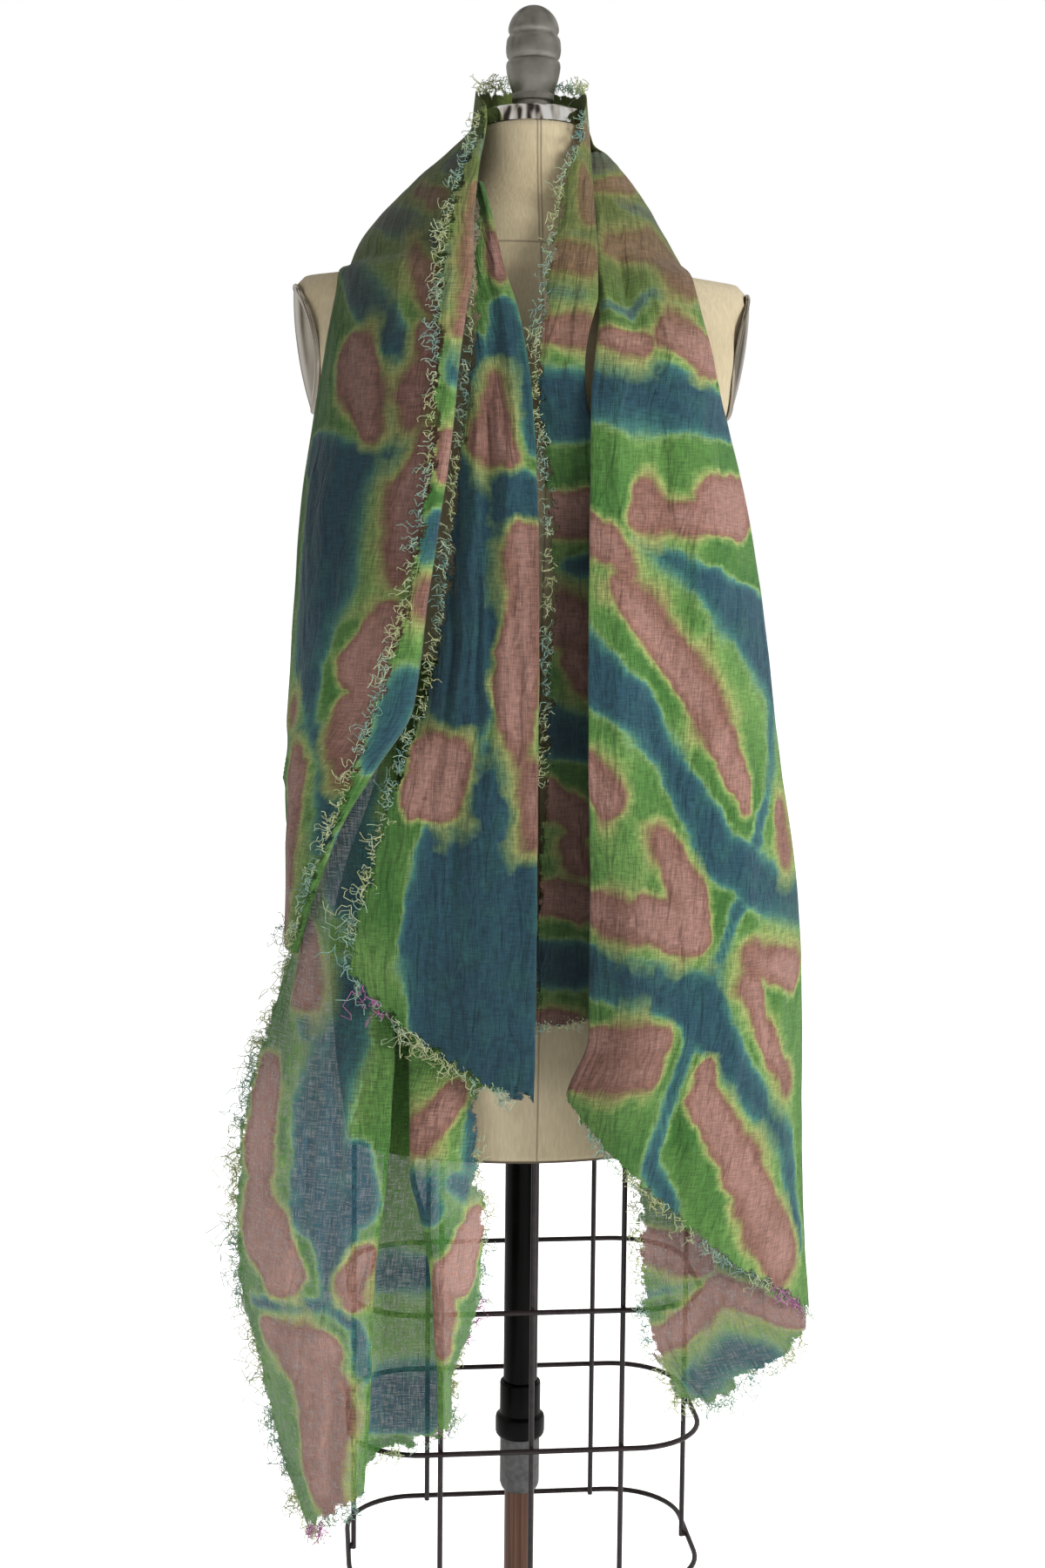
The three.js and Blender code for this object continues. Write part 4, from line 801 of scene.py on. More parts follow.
yarn_lays = [
    add(tree, "Mapping", {"Vector": lay, "Scale": (*pull, 1)})
    for pull in ((threads_across, slubs_along), (slubs_along, threads_across))]
warp, weft = (
    add(tree, "TexNoise", {"Vector": yarn_lay, "Scale": 1.0, "Detail": 1.5}, noise_dimensions="2D")
    for yarn_lay in yarn_lays)
crossed = add(tree, "Math", (warp, weft), operation="ADD")
thread_tone = add(tree, "MapRange", {"Value": crossed, 1: 0.65, 2: 1.35, 3: 0.7, 4: 1.28})
cloudy = add(tree, "Math", (broad, -0.5, 0.45), operation="MULTIPLY_ADD")
speckled = add(tree, "Math", (creep, -0.4, cloudy), operation="MULTIPLY_ADD")
clouded = add(tree, "Math", (thread_tone, speckled), operation="ADD")
# The depth field is painted shade: it darkens the dyed colour where the cloth lies in shade under other
# layers or turned from the lamp, and where it is negative it lightens the colour as painted light.
painted_shade_factor = add(tree, "Math", (1.0, fields["depth"]), operation="SUBTRACT")
weave_tone_with_painted_shade = add(tree, "Math", (clouded, painted_shade_factor), operation="MULTIPLY")
woven = add(tree, "Mix", {0: 1.0, 6: with_olive, 7: weave_tone_with_painted_shade}, data_type="RGBA", blend_type="MULTIPLY")
gaps = add(tree, "MapRange", {"Value": crossed, 1: 1.3, 2: 0.7, 3: 0.25, 4: 1.0})
open_share = add(tree, "Math", (gaps, fields["sheer"]), operation="MULTIPLY")
closed_share = add(tree, "Math", (1.0, open_share), operation="SUBTRACT")
tatters = add(tree, "TexNoise", {"Vector": lay, "Scale": 85.0, "Detail": 3.0}, noise_dimensions="2D")
ragged = add(tree, "Math", (tatters, -22.0, 8.0), operation="MULTIPLY_ADD")
yarns = add(tree, "Math", (crossed, 5.0, -5.0), operation="MULTIPLY_ADD")
worn = add(tree, "Math", (ragged, yarns), operation="ADD")
worn_edge = add(tree, "Math", (fields["inside"], worn), operation="ADD")
kept = add(tree, "MapRange", {"Value": worn_edge, 1: 0.0, 2: 2.5})
cover = add(tree, "Math", (kept, closed_share), operation="MULTIPLY")
rumple_lay = add(tree, "Mapping", {"Vector": lay, "Scale": (95, 26, 1)})
rumple = add(tree, "TexNoise", {
    "Vector": rumple_lay, "Scale": 1.0, "Detail": 3.0, "Distortion": 0.6},
    noise_dimensions="2D")
soft = add(tree, "Bump", {"Strength": 0.7, "Distance": 0.005, "Height": rumple})
wrinkle_lay = add(tree, "Mapping", {
    "Vector": lay, "Rotation": (0, 0, math.radians(14)), "Scale": (46, 15, 1)})
wrinkles = add(tree, "TexNoise", {
    "Vector": wrinkle_lay, "Scale": 1.0, "Detail": 2.0, "Distortion": 0.9},
    noise_dimensions="2D", noise_type="RIDGED_MULTIFRACTAL", normalize=True)
pressed = add(tree, "Bump", {"Strength": 0.6, "Distance": 0.0022, "Height": wrinkles, "Normal": soft})
fine = add(tree, "Bump", {"Strength": 0.45, "Distance": 0.0006, "Height": crossed, "Normal": pressed})
feed(shader, {
    "Base Color": woven, "Alpha": cover, "Normal": fine, "Roughness": 0.88, "Specular IOR Level": 0.25,
    "Sheen Weight": 0.12, "Sheen Roughness": 0.6})

back_rows = chart("""
1578 -45 42 56 2
1556 -48 45 56 2
1530 -51 47 58 2
1518 -57 51 61 2
1508 -72 64 64 2
1490 -94 80 74 2
1467 -118 97 88 2.1
1447 -136 109 98 2.2
1430 -147 119 105 2.6
1414 -153 127 110 3
1395 -158 135 117 3
1320 -160 146 128 2.8
1260 -152 142 132 2.5
1195 -142 136 134 2.4
""")


def back_section(z):
    left, right, back, square = read_rows(back_rows, z)
    depth = back - ridge_y
    power = 2 / square
    course = []
    for k in range(9):
        angle = math.pi * (1 - k / 8)
        side = np.sign(round(math.cos(angle), 9)) * abs(math.cos(angle)) ** power
        x = (left + right) / 2 + (right - left) / 2 * side
        course.append((x, ridge_y + 2 * seam + (depth + back_slant * x) * abs(math.sin(angle)) ** power))
    return course


back = drape(
    back_section, (1576, 1204),
    [1561, 1566, 1573, 1577, 1574, 1576, 1572, 1566, 1560],
    [1414.5, 1402, 1322, 1240, 1204, 1238, 1324, 1405, 1420], zero=4)
back_dye = """
navy -150 1500 6, -60 1515 9
navy 60 1515 9, 150 1500 6
navy 0 1535 1, 0 1400 2
mauve -84 1470 12, -28 1450 18
mauve 30 1452 18, 80 1468 12
navy -220 1425 14, -80 1398 20, 0 1386 15, 90 1402 21, 220 1428 13
navy 0 1386 3, -4 1290 2
mauve -150 1368 14, -32 1334 20
mauve 34 1338 20, 150 1372 13
navy -125 1326 7, -30 1284 14, 34 1286 13, 125 1330 6
mauve -52 1262 5, -16 1238 10
mauve 16 1236 10, 50 1262 5
navy 0 1286 4, 0 1215 4
"""
back_creases = chart("""
-60 1540 -80 1350 8 -3
40 1550 60 1340 8 -3
0 1540 0 1260 10 2.5
-170 1480 -20 1345 9 4
20 1350 170 1480 9 4
-240 1440 -20 1275 10 4.5
24 1268 240 1440 11 4.5
-120 1520 -90 1420 7 2
120 1520 95 1420 7 2
-45 1500 -30 1300 6 -3
45 1500 30 1290 6 3
-85 1420 -40 1290 7 3.5
85 1420 44 1280 7 -3.5
-15 1330 -6 1230 5 -3
20 1420 14 1330 4 2
""")
back_cloth = cloth_piece(
    "linen_over_back", "shawl_back", back, back_dye, back_creases, ["top"],
    olive=rising(back.z, 1380, 1530))

# ---------------------------------------------------------------- the left end, front layer
# From the shoulder, or the long fold below it, to a narrow lapel that turns back over it and ends in
# one of the shawl's long raw edges.
left_front_rows = chart("""
1560 -48 -5 -41 -33 -46 -31
1530 -51 -5 -38 -39 -45 -41
1508 -72 -5 -40 -52 -48 -55
1490 -94 -5 -43 -66 -55 -71
1467 -118 -5 -45 -84 -62 -88
1447 -136 -5 -46 -98 -67 -101
1430 -147 -5 -46 -108 -70 -111
1415 -153 -8 -46 -116 -72 -119
1409 -155 -46 -46 -118 -73 -121
1402 -157 -66 -46 -121 -74 -124
1390 -158 -71 -47 -125 -74 -128
1365 -162 -75 -51 -132 -75 -135
1320 -170 -77 -56 -142 -76 -145
1255 -181 -76 -62 -148 -77 -152
1200 -188 -75 -70 -150 -86 -155
1130 -193 -71 -80 -151 -99 -156
1054 -198 -68 -90 -150 -122 -153
1000 -201 -66 -122 -144 -140 -147
960 -201 -65 -146 -136 -155 -140
900 -201 -64 -170 -119 -178 -123
848 -202 -65 -186 -104 -193 -107
""")


def left_front_section(z):
    side_x, side_y, fold_x, fold_y, edge_x, edge_y = read_rows(left_front_rows, z)
    width, depth = fold_x - side_x, fold_y - side_y
    return [
        (side_x, side_y), (side_x + 0.16 * width, side_y + 0.46 * depth),
        (side_x + 0.5 * width, side_y + 0.83 * depth), (fold_x - 0.14 * width, fold_y + 1),
        (fold_x, fold_y), (fold_x + 0.2 * (edge_x - fold_x), edge_y - 1.5), (edge_x, edge_y)]


left_front = drape(
    left_front_section, (1558, 848),
    [1560, 1556, 1550, 1546, 1542, 1541, 1540], [850, 849, 848, 848, 848, 848, 848], zero=4)
left_front_dye = """
navy -26 1491 8, -5 1500 8
mauve -60 1470 2, -35 1460 5
navy -112 1450 7, -70 1442 10, -35 1424 9
mauve -50 1412 3, -24 1372 10
mauve -28 1348 8, -24 1332 6
navy -115 1400 9, -90 1378 12, -65 1352 13, -46 1328 10
mauve -90 1328 18, -82 1305 20, -68 1272 7
navy -50 1322 5, -51 1284 0.5, -47 1262 6
navy -47 1262 4, -12 1280 0
mauve -24 1318 8, -30 1300 14, -35 1282 5
navy -125 1250 18, -85 1235 24
navy -85 1240 20, -40 1253 8
navy -100 1230 34, -100 1150 32, -112 1092 20, -92 1050 6, -86 1037 3, -47 1010 4, -20 968 6, -8 945 8
navy -86 1037 2, -110 1012 1
mauve -16 1262 8, -22 1235 13
mauve -27 1222 14, -26 1180 13, -27 1152 3
mauve -28 1122 12, -50 1085 18
mauve -30 1085 14, -40 1050 16
mauve -50 1050 12, -38 1025 14, -22 1000 5
mauve -126 1044 6, -124 1038 5
mauve -88 1012 4, -78 995 13, -60 950 13, -48 905 10, -40 860 8
navy 23 1410 1, 22 1378 6
mauve 2 1465 5, 2 1350 4
navy 1 1334 5, 2 1316 7
mauve 3 1262 8, 4 1238 8
navy 5 1198 7, 7 1180 8
mauve 4 1143 6, 4 1133 6
navy 10 1070 13, 14 1052 13
navy 14 1052 12, 8 1010 7
"""
left_front_creases = chart("""
-60 1440 -50 1280 8 3
-100 1300 -96 1120 9 2.5
-30 1120 -60 1010 3 2
-75 1200 -90 1060 5 -2
-110 1380 -85 1250 6 -2.5
-130 1260 -112 1130 5 2
-125 1120 -122 960 6 -2
-95 1060 -120 920 4 2.2
-60 1340 -72 1230 3 -1.6
-44 1180 -52 1090 2.5 1.5
-80 1010 -92 900 3 -1.8
""")
# Its depth is painted shade: the panel is darkened a little all over and more above 1180 mm, where it
# turns away from the lamp, but not on the lapel.
left_front_cloth = cloth_piece(
    "linen_left_front", "shawl_left_front", left_front, left_front_dye, left_front_creases, ["last"],
    depth=(0.15 + 0.3 * rising(left_front.z, 1080, 1180)) * (left_front.places < 4),
    sheer=0.3 * rising(left_front.z, 1010, 890), olive=rising(left_front.z, 1330, 1450))

# ---------------------------------------------------------------- the left end, middle panel
# The inner layer, turned back from a fold near the middle of the front. Its left side is the other
# long raw edge, and its foot is part of the short end.
left_centre_rows = chart("""
1480 -50 -54 -41 -59 0
1446 -45 -79 -32 -84 0
1400 -46 -103 -21 -106 0.5
1358 -47 -117 -8 -121 1
1300 -51 -129 1 -134 2
1240 -58 -134 5 -141 3
1150 -67 -137 8 -143 3
1060 -82 -138 9 -144 3
1002 -103 -140 9 -145 3
936 -122 -143 9 -146 3
864 -140 -142 9 -147 2.5
733 -152 -140 8 -148 2
""")


def left_centre_section(z):
    edge_x, edge_y, fold_x, fold_y, ripple = read_rows(left_centre_rows, z)
    width, depth = fold_x - edge_x, fold_y - edge_y
    return [
        (edge_x, edge_y), (edge_x + 0.22 * width, edge_y + 0.2 * depth - ripple),
        (edge_x + 0.45 * width, edge_y + 0.5 * depth + 0.7 * ripple),
        (edge_x + 0.68 * width, fold_y - ripple), (fold_x - 0.12 * width, fold_y + 0.3 * ripple),
        (fold_x, fold_y + 1.5), (fold_x - 1, fold_y + fold_turn),
        (fold_x - 0.3 * width, fold_y + fold_turn + 1.5)]


left_centre = drape(
    left_centre_section, (1480, 733),
    [1480, 1479, 1478, 1477, 1476, 1475, 1474, 1473], [838, 804, 776, 754, 738, 734, 734, 742], zero=5)
left_centre_dye = """
mauve -6 1425 6, -10 1398 7
navy -15 1362 12, -20 1335 18
navy -12 1335 12, -6 1290 8
navy -6 1290 7, -2 1258 2
navy -52 1335 10, -68 1300 8
mauve -33 1308 4, -40 1264 19
mauve -50 1262 13, -26 1254 9
navy -85 1212 38, -15 1206 30
navy -85 1200 46, -80 1070 46
mauve -12 1185 13, -12 1110 13
mauve -14 1120 14, -22 1075 19, -20 1045 14, -14 1012 3
mauve -6 1005 5, -4 945 4
mauve -108 1012 19, -84 1006 21
mauve -114 985 19, -88 985 21
navy -40 1010 14, -55 930 56, -58 860 66, -40 770 66
"""
left_centre_creases = chart("""
-60 1250 -70 1000 5 4
-80 1230 -100 900 6 -5
-30 1300 -28 1100 4 2.5
-46 1300 -42 1240 2.5 -3.5
-33 1310 -36 1240 2.5 3
-20 1180 -22 1020 2.5 -2.5
-10 1170 -12 1020 3 3.5
-95 1020 -112 955 5 -4
-50 1180 -52 1040 4 3.5
-30 930 -60 800 4 2
-26 1290 -30 1150 2 -2
-58 1300 -62 1180 2.5 2.2
-14 1340 -16 1230 2 1.8
-72 1160 -84 1040 3 2.6
-40 1140 -48 960 2.5 -2.4
-26 1040 -32 900 3 2.2
-64 1040 -78 880 3 -2.6
-12 960 -18 800 3 -2
-88 940 -96 840 4 2.4
-48 860 -56 780 3 -1.8
""")
# Its depth is painted shade: the panel is darkened all over, and more at its left side above 1030 mm,
# where the lapel shades it.
left_centre_cloth = cloth_piece(
    "linen_left_centre", "shawl_left_centre", left_centre, left_centre_dye, left_centre_creases,
    ["first", "foot"],
    depth=0.2 + 0.35 * rising(left_centre.across, -50, -100) * (left_centre.z > 1030))

# ---------------------------------------------------------------- the left end, lower part
# One sheer layer that hangs clear below the form: a left panel, a deep valley and a tube-like fold.
# Its left side is the long raw edge again, and its right side and foot are the short raw end.
left_lower_rows = chart("""
1090 -193.5 -68.5 -104 -80 -122 4 -22 -126
1000 -199 -65 -104 -80 -124 4 -22 -128
900 -199 -63.5 -104 -82 -126 5 -22 -129
848 -198.5 -64 -104 -86 -128 8 -24 -129
804 -209 -69 -105 -90 -129 12 -30 -128
759 -224 -76 -106 -93 -131 18 -36 -126
676 -240 -80 -110 -92 -138 24 -36 -122
631 -243 -80 -115 -82 -140 25 -29 -120
585 -242 -79 -120 -74 -141 25 -31 -119
545 -238 -78 -122 -71 -141 25 -36 -119
495 -224 -77 -123 -68 -139 23 -56 -121
445 -214 -76 -126 -67 -137 20 -55 -120
390 -198 -76 -130 -76 -133 16 -60 -118
320 -172 -76 -134 -84 -129 12 -66 -116
""")


def left_lower_section(z):
    edge_x, edge_y, a_x, b_x, face_y, valley, end_x, end_y = read_rows(left_lower_rows, z)
    tuck, panel = 0.14 * valley, a_x - edge_x
    return [
        (edge_x, edge_y), (edge_x + 0.3 * panel, edge_y + 0.68 * (face_y - edge_y)),
        (edge_x + 0.68 * panel, face_y + 2), (a_x, face_y), (a_x - tuck, face_y + 0.5 * valley),
        (a_x + 1, face_y + valley), (b_x - 1, face_y + valley), (b_x + tuck, face_y + 0.5 * valley),
        (b_x, face_y), ((b_x + end_x) / 2, face_y - 5), (end_x, end_y)]


left_lower = drape(
    left_lower_section, (1090, 322),
    [1090] * 11, [338, 360, 380, 398, 408, 418, 440, 446, 456, 454, 456], zero=3)
left_lower_dye = """
mauve -85 1040 18, -92 960 16
mauve -118 745 13, -124 672 17
mauve -88 860 13, -84 815 13
navy -104 835 3, -76 790 8
navy -40 1000 16, -42 900 18
navy -42 820 20, -45 782 17, -62 730 19, -58 640 24
navy -30 688 10, -25 645 18
navy -42 640 24, -38 600 14
navy -38 600 12, -42 563 3
mauve -120 642 18, -110 612 29, -88 586 20
mauve -10 605 7, -20 585 11, -18 568 7
navy -42 563 3, -80 556 2, -125 550 3
navy -42 563 3, -15 544 4, -8 508 7
mauve -104 531 11, -48 520 18
mauve -72 515 18, -42 490 18
mauve -50 490 22, -36 460 18
mauve -45 455 20, -45 400 15
mauve -40 405 12, -30 375 10
navy 38 582 13, 72 582 13
navy 38 470 26, 72 474 28
mauve 106 735 11, 86 705 12
navy 130 725 5, 142 690 14
navy 92 680 7, 105 645 12
navy 122 668 5, 145 656 8
mauve 152 630 11, 136 590 17
mauve 124 595 8, 122 530 8
navy 162 590 -3, 168 540 0
"""
left_lower_creases = chart("""
-100 900 -112 700 4 -2.5
-80 880 -70 560 4 -3
-60 860 -60 600 3 2.5
-92 860 -100 640 3 2.5
-40 800 -30 560 4 2.5
-25 760 -20 600 3 -2
-110 720 -90 480 3 2
-72 800 -84 620 2.5 2
-50 820 -44 640 2.5 -2.5
-120 640 -60 652 2 1.5
-110 600 -50 590 2 -1.5
-80 540 -60 400 5 3
-40 520 -40 380 5 -3
110 720 125 520 5 3.5
140 700 135 560 4 -2.5
-86 760 -74 520 2.2 1.8
-104 640 -92 470 2.5 -2
-34 720 -30 540 2.2 1.8
-58 700 -66 520 2.2 -2
-96 940 -100 800 3 2.4
-120 780 -122 600 3 2
-70 640 -50 610 2 1.4
""")
# Its depth is painted shade above 760 mm and painted light below 690 mm, where the cloth hangs clear
# below the form and is lit lighter.
left_lower_cloth = cloth_piece(
    "linen_left_lower", "shawl_left_lower", left_lower, left_lower_dye, left_lower_creases,
    ["first", "last", "foot"], ruffle=0.6,
    sheer=np.maximum(0.31, 0.5 - (left_lower.across - left_lower.across[:, :1]) / 30),
    depth=0.1 - 0.3 * rising(left_lower.z, 760, 690))

# ---------------------------------------------------------------- the right end, strip at the neckline
# From its long raw edge to the deep fold beside the front panel. Low down it lies behind that panel.
right_neck_rows = chart("""
1556 44 -31 44.5 -5 1
1541 42 -34 46 -5 1
1528 40 -39 47.5 -7 2
1510 36 -48 48 -27 2
1482 26 -61 49 -48 3
1450 19 -80 51 -70 4
1416 14 -96 53 -92 4
1380 8 -110 53 -107 4
1365 6 -114 50 -112 3
1350 4 -118 46 -116 3
1325 3 -123 43 -121 2
1300 4 -126 44 -126 1
1260 9 -129 56 -129 0
1180 16 -129 66 -131 -2
1060 14 -128 68 -131 -3
900 8 -129 70 -133 -3
790 4 -130 68 -134 -3
""")


def right_neck_section(z):
    edge_x, edge_y, fold_x, fold_y, bulge = read_rows(right_neck_rows, z)
    run, depth = fold_x - edge_x, fold_y - edge_y
    return [
        (edge_x, edge_y), (edge_x + 0.35 * run, edge_y + 0.35 * depth - bulge),
        (edge_x + 0.75 * run, edge_y + 0.75 * depth - bulge), (fold_x, fold_y)]


right_neck = drape(
    right_neck_section, (1541, 790), [1541, 1544, 1550, 1556], [790, 793, 796, 798], zero=0)
right_neck_dye = """
mauve 4 1527 4, 30 1518 5
mauve 20 1486 5, 36 1452 9
mauve 4 1414 6, 36 1410 9
mauve 2 1352 7, 36 1350 10
navy 8 1500 -3, 28 1490 0
navy 12 1430 -4, 28 1430 -1
navy 0 1381 -1, 32 1381 1
navy 0 1292 25, 36 1292 27
mauve 6 1207 15, 32 1207 17
navy 22 1166 5, 36 1166 8
mauve 4 1124 18, 32 1118 17
mauve 25 1090 10, 36 1080 15
navy 4 1033 19, 36 1028 15
mauve 4 982 11, 36 962 11
mauve 25 942 7, 36 925 8
mauve 4 898 13, 36 894 13
navy 4 846 16, 36 843 16
mauve 10 798 8, 36 797 8
"""
right_neck_creases = chart("""
24 1480 26 1300 3 -2
10 1480 12 1280 3 1.5
16 1160 18 1000 4 -1.5
18 1340 16 1180 3 1.2
""")
# Its depth is painted shade that grows from 1330 mm down to 1200 mm, where the strip lies behind the
# front panel in its shadow.
right_neck_cloth = cloth_piece(
    "linen_right_neck", "shawl_right_neck", right_neck, right_neck_dye, right_neck_creases,
    ["first", "foot"], olive=1.15 * rising(right_neck.z, 1330, 1420),
    depth=0.16 + 0.56 * rising(right_neck.z, 1330, 1200))

# ---------------------------------------------------------------- the right end, front panel
# The broad outer layer, from the shoulder, or the long fold below it, to the crease where it turns
# under beside the strip. Its foot is the short raw end.
right_front_rows = chart("""
1508 64 -5 45 -20 1
1490 80 -5 45 -33 1
1467 97 -5 46 -48 1
1447 109 -5 47 -62 1
1430 119 -5 48 -74 1
1420 125 -7 49 -80 1
1409 129 -42 50 -86 1
1402 131 -60 51 -90 1
1390 134 -68 52 -96 1
1365 140 -75 54 -105 1
1340 147 -79 52 -116 2
1320 151 -80 50 -127 4
1295 157 -80 48 -136 8
1255 168 -78 48 -140 10
1200 181 -75 48 -143 12
1130 194 -70 48 -145 12
1020 209 -66 49 -146 12
880 230 -62 52 -147 12
790 235 -60 52 -148 12
735 236 -60 34 -149 12
640 239 -60 34 -149 12
528 247 -60 34 -149 12
""")
right_folds = [0, 0, -5, 4, -4, 0, 0, 0]


def right_front_section(z):
    side_x, side_y, crease_x, crease_y, under = read_rows(right_front_rows, z)
    width, depth = side_x - crease_x, side_y - crease_y
    swing = np.clip((1440 - z) / 200, 0, 1)
    course = [
        (side_x, side_y), (side_x - 0.12 * width, side_y - 0.38 * depth),
        (side_x - 0.34 * width, side_y - 0.7 * depth), (side_x - 0.6 * width, side_y - 0.9 * depth),
        (crease_x + 0.18 * width, crease_y + 1), (crease_x + 0.02 * width, crease_y),
        (crease_x, crease_y + 0.2 * fold_turn),
        (crease_x + under, crease_y + 0.2 * fold_turn + 0.07 * under * fold_turn)]
    return [(x, y + swing * fold) for (x, y), fold in zip(course, right_folds)]


right_front = drape(
    right_front_section, (1507, 530),
    [1507, 1508, 1509, 1509, 1508, 1507, 1502, 1498], [530, 560, 594, 644, 690, 733, 740, 752], zero=5)
right_front_dye = """
navy -38 1507 5, -8 1496 7
navy -28 1465 0, -80 1452 3
mauve -56 1428 13, -80 1404 17
mauve -8 1478 3, -40 1482 6
mauve -16 1424 7, -50 1424 12
mauve -6 1347 5, -36 1343 7
navy -4 1372 -2, -27 1367 2
navy -27 1367 1, -43 1384 -2, -95 1381 -2
mauve -62 1352 12, -106 1333 14
navy 12 1306 22, -60 1300 24, -138 1284 13
mauve -50 1224 8, -58 1210 12
mauve -112 1222 14, -152 1216 20
mauve -45 1205 9, -152 1203 11
mauve 4 1192 13, -15 1182 13
mauve -18 1183 8, -34 1163 5
navy -42 1189 0.5, -89 1165 5, -132 1138 17, -198 1104 33, -214 1056 8
mauve -25 1150 7, -50 1130 13, -94 1084 13, -133 1028 13, -155 992 9, -160 972 3
navy 8 1086 25, -49 1053 17, -81 1013 8, -108 979 13, -135 937 18, -175 911 18, -250 886 15
navy -202 1050 1, -201 1005 1, -176 945 3
mauve -212 968 5, -222 930 7
mauve 6 1006 13, -20 982 15
mauve -75 952 7, -105 905 15, -112 872 17
mauve 8 893 12, -60 880 13
mauve -60 885 17, -110 873 17
navy 12 845 17, -75 828 17, -123 816 22
navy -123 812 20, -136 795 19, -158 768 13, -196 731 11, -244 687 8, -262 640 7, -285 592 3
navy -119 795 9, -117 777 4
navy -117 777 3, -101 706 2.5, -98 682 5
navy -98 682 6, -130 645 4
navy -134 835 3, -145 864 1, -155 892 5
mauve -176 850 9, -236 832 15
mauve -173 826 8, -205 775 8, -238 738 5
mauve 10 784 12, -84 783 12
mauve 10 760 12, -80 760 12
mauve -137 760 5, -140 735 13, -187 677 16, -225 625 17, -260 588 17
"""
right_front_creases = chart("""
-8 1470 -6 1340 4 4
-26 1440 -28 1345 6 -5.5
-60 960 -70 880 5 -3.5
-70 915 -155 855 1.2 -1
-100 1330 -125 1120 8 2
-40 1280 -55 1100 7 -2
-150 1000 -190 780 9 2.5
-90 800 -130 660 8 -2
-200 720 -240 600 7 2
-20 1320 -30 1190 3 1.8
-64 1300 -72 1180 4 -2
-88 1240 -106 1080 4 2.2
-30 1130 -36 980 4 2
-60 1100 -78 940 4 -2
-120 1100 -150 920 5 -2.4
-96 980 -112 840 4 2
-40 900 -52 770 4 2
-150 880 -176 720 5 2.4
-120 760 -150 640 5 2.2
-180 900 -214 740 5 -2.4
-70 790 -92 690 3 1.8
-210 860 -228 700 4 2
-46 1400 -60 1330 3 2
""")
# Its depth is painted shade: the panel is darkened inside the crease below 1010 mm, where it turns in,
# and a little at the top above 1330 mm.
right_front_cloth = cloth_piece(
    "linen_right_front", "shawl_right_front", right_front, right_front_dye, right_front_creases, ["foot"],
    depth=0.4 * rising(right_front.z, 1010, 860) * rising(right_front.across, -110, -30)
    + 0.14 * rising(right_front.z, 1330, 1390),
    olive=1.15 * rising(right_front.z, 1330, 1420))

# ---------------------------------------------------------------- the right end, under layer
# The inner layer behind the front panel. It hangs a little longer, and shows sheer below its foot.
right_under_rows = chart("""
1290 92 -118
1200 90 -126
880 90 -128
735 91 -122
654 93 -118
587 96 -116
527 104 -113
466 134 -106
""")


def right_under_section(z):
    side_x, side_y, *_ = read_rows(right_front_rows, z)
    side_x, side_y = side_x - 2, side_y + 2
    edge_x, edge_y = read_rows(right_under_rows, z)
    width, depth = side_x - edge_x, side_y - edge_y
    return [
        (side_x, side_y), (side_x - 0.16 * width, side_y - 0.36 * depth),
        (side_x - 0.44 * width, side_y - 0.66 * depth + 4),
        (side_x - 0.72 * width, side_y - 0.86 * depth - 2), (edge_x, edge_y)]


right_under = drape(
    right_under_section, (1290, 468), [1290] * 5, [512, 496, 483, 464, 471], zero=4)
right_under_dye = """
navy -4 1230 12, -76 1250 14
mauve -10 1182 9, -60 1196 14
navy -20 1142 3, -100 1112 12, -126 1070 16
mauve -8 1110 9, -70 1062 13, -110 992 11
navy -4 1030 14, -70 972 12, -150 900 15
mauve -10 950 11, -60 902 15
mauve -122 862 12, -150 820 12
navy -4 850 14, -90 830 15, -160 772 10
mauve -12 782 12, -66 772 13
navy -90 800 4, -84 700 3
mauve -112 750 9, -150 692 15
mauve -14 694 12, -56 690 12
navy -84 700 5, -100 650 3
mauve -12 608 13, -52 595 15
navy -4 564 -1, -37 572 -2
mauve -5 520 9, -35 538 10, -74 565 10, -142 527 9
navy -28 485 7, -70 508 13, -92 500 11
"""
right_under_creases = chart("""
-20 640 -30 500 3 1.2
-60 620 -50 490 3 -1.2
-100 570 -90 500 4 1.2
-75 600 -80 500 3 1
-40 640 -46 510 2.2 -1.4
-88 600 -96 500 2.5 1.4
-58 560 -66 490 2 1.2
""")
# Its depth is painted shade all over, for the layer that lies behind the front panel.
right_under_cloth = cloth_piece(
    "linen_right_under", "shawl_right_under", right_under, right_under_dye, right_under_creases,
    ["last", "foot"], ruffle=0.5, depth=0.2,
    sheer=np.maximum(0.3, 0.48 - (right_under.across[:, -1:] - right_under.across) / 30))

# ---------------------------------------------------------------- the frayed edges
# Every raw edge has been frayed out, so that loose curly threads stand and hang along it, pale green
# and teal with some pink where the dye took differently. Each thread is about 0.7 mm thick.

# Linen yarn is matt and hairy, and its twist shows as a fine relief.
loose_thread, tree, shader = new_material("loose linen thread, dyed")
shade = add(tree, "Attribute", attribute_name="tint")
pinkish = add(tree, "Attribute", attribute_name="pink")
thread_colours = add(tree, "ValToRGB", {"Fac": shade.outputs["Fac"]}, stops=[
    (0.0, "#6f9a92"), (0.25, "#9dbfae"), (0.5, "#bccfa6"), (0.75, "#cfd2a2"), (1.0, "#aebc7c")])
pink_thread = add(tree, "Mix", {
    0: pinkish.outputs["Fac"], 6: thread_colours, 7: linear("#b96fa6")}, data_type="RGBA")
where = add(tree, "TexCoord").outputs["Object"]
twist = add(tree, "TexNoise", {"Vector": where, "Scale": 1200.0, "Detail": 1.0})
relief = add(tree, "Bump", {"Strength": 0.3, "Distance": 0.0002, "Height": twist})
feed(shader, {"Base Color": pink_thread, "Normal": relief, "Roughness": 0.9, "Sheen Weight": 0.2})

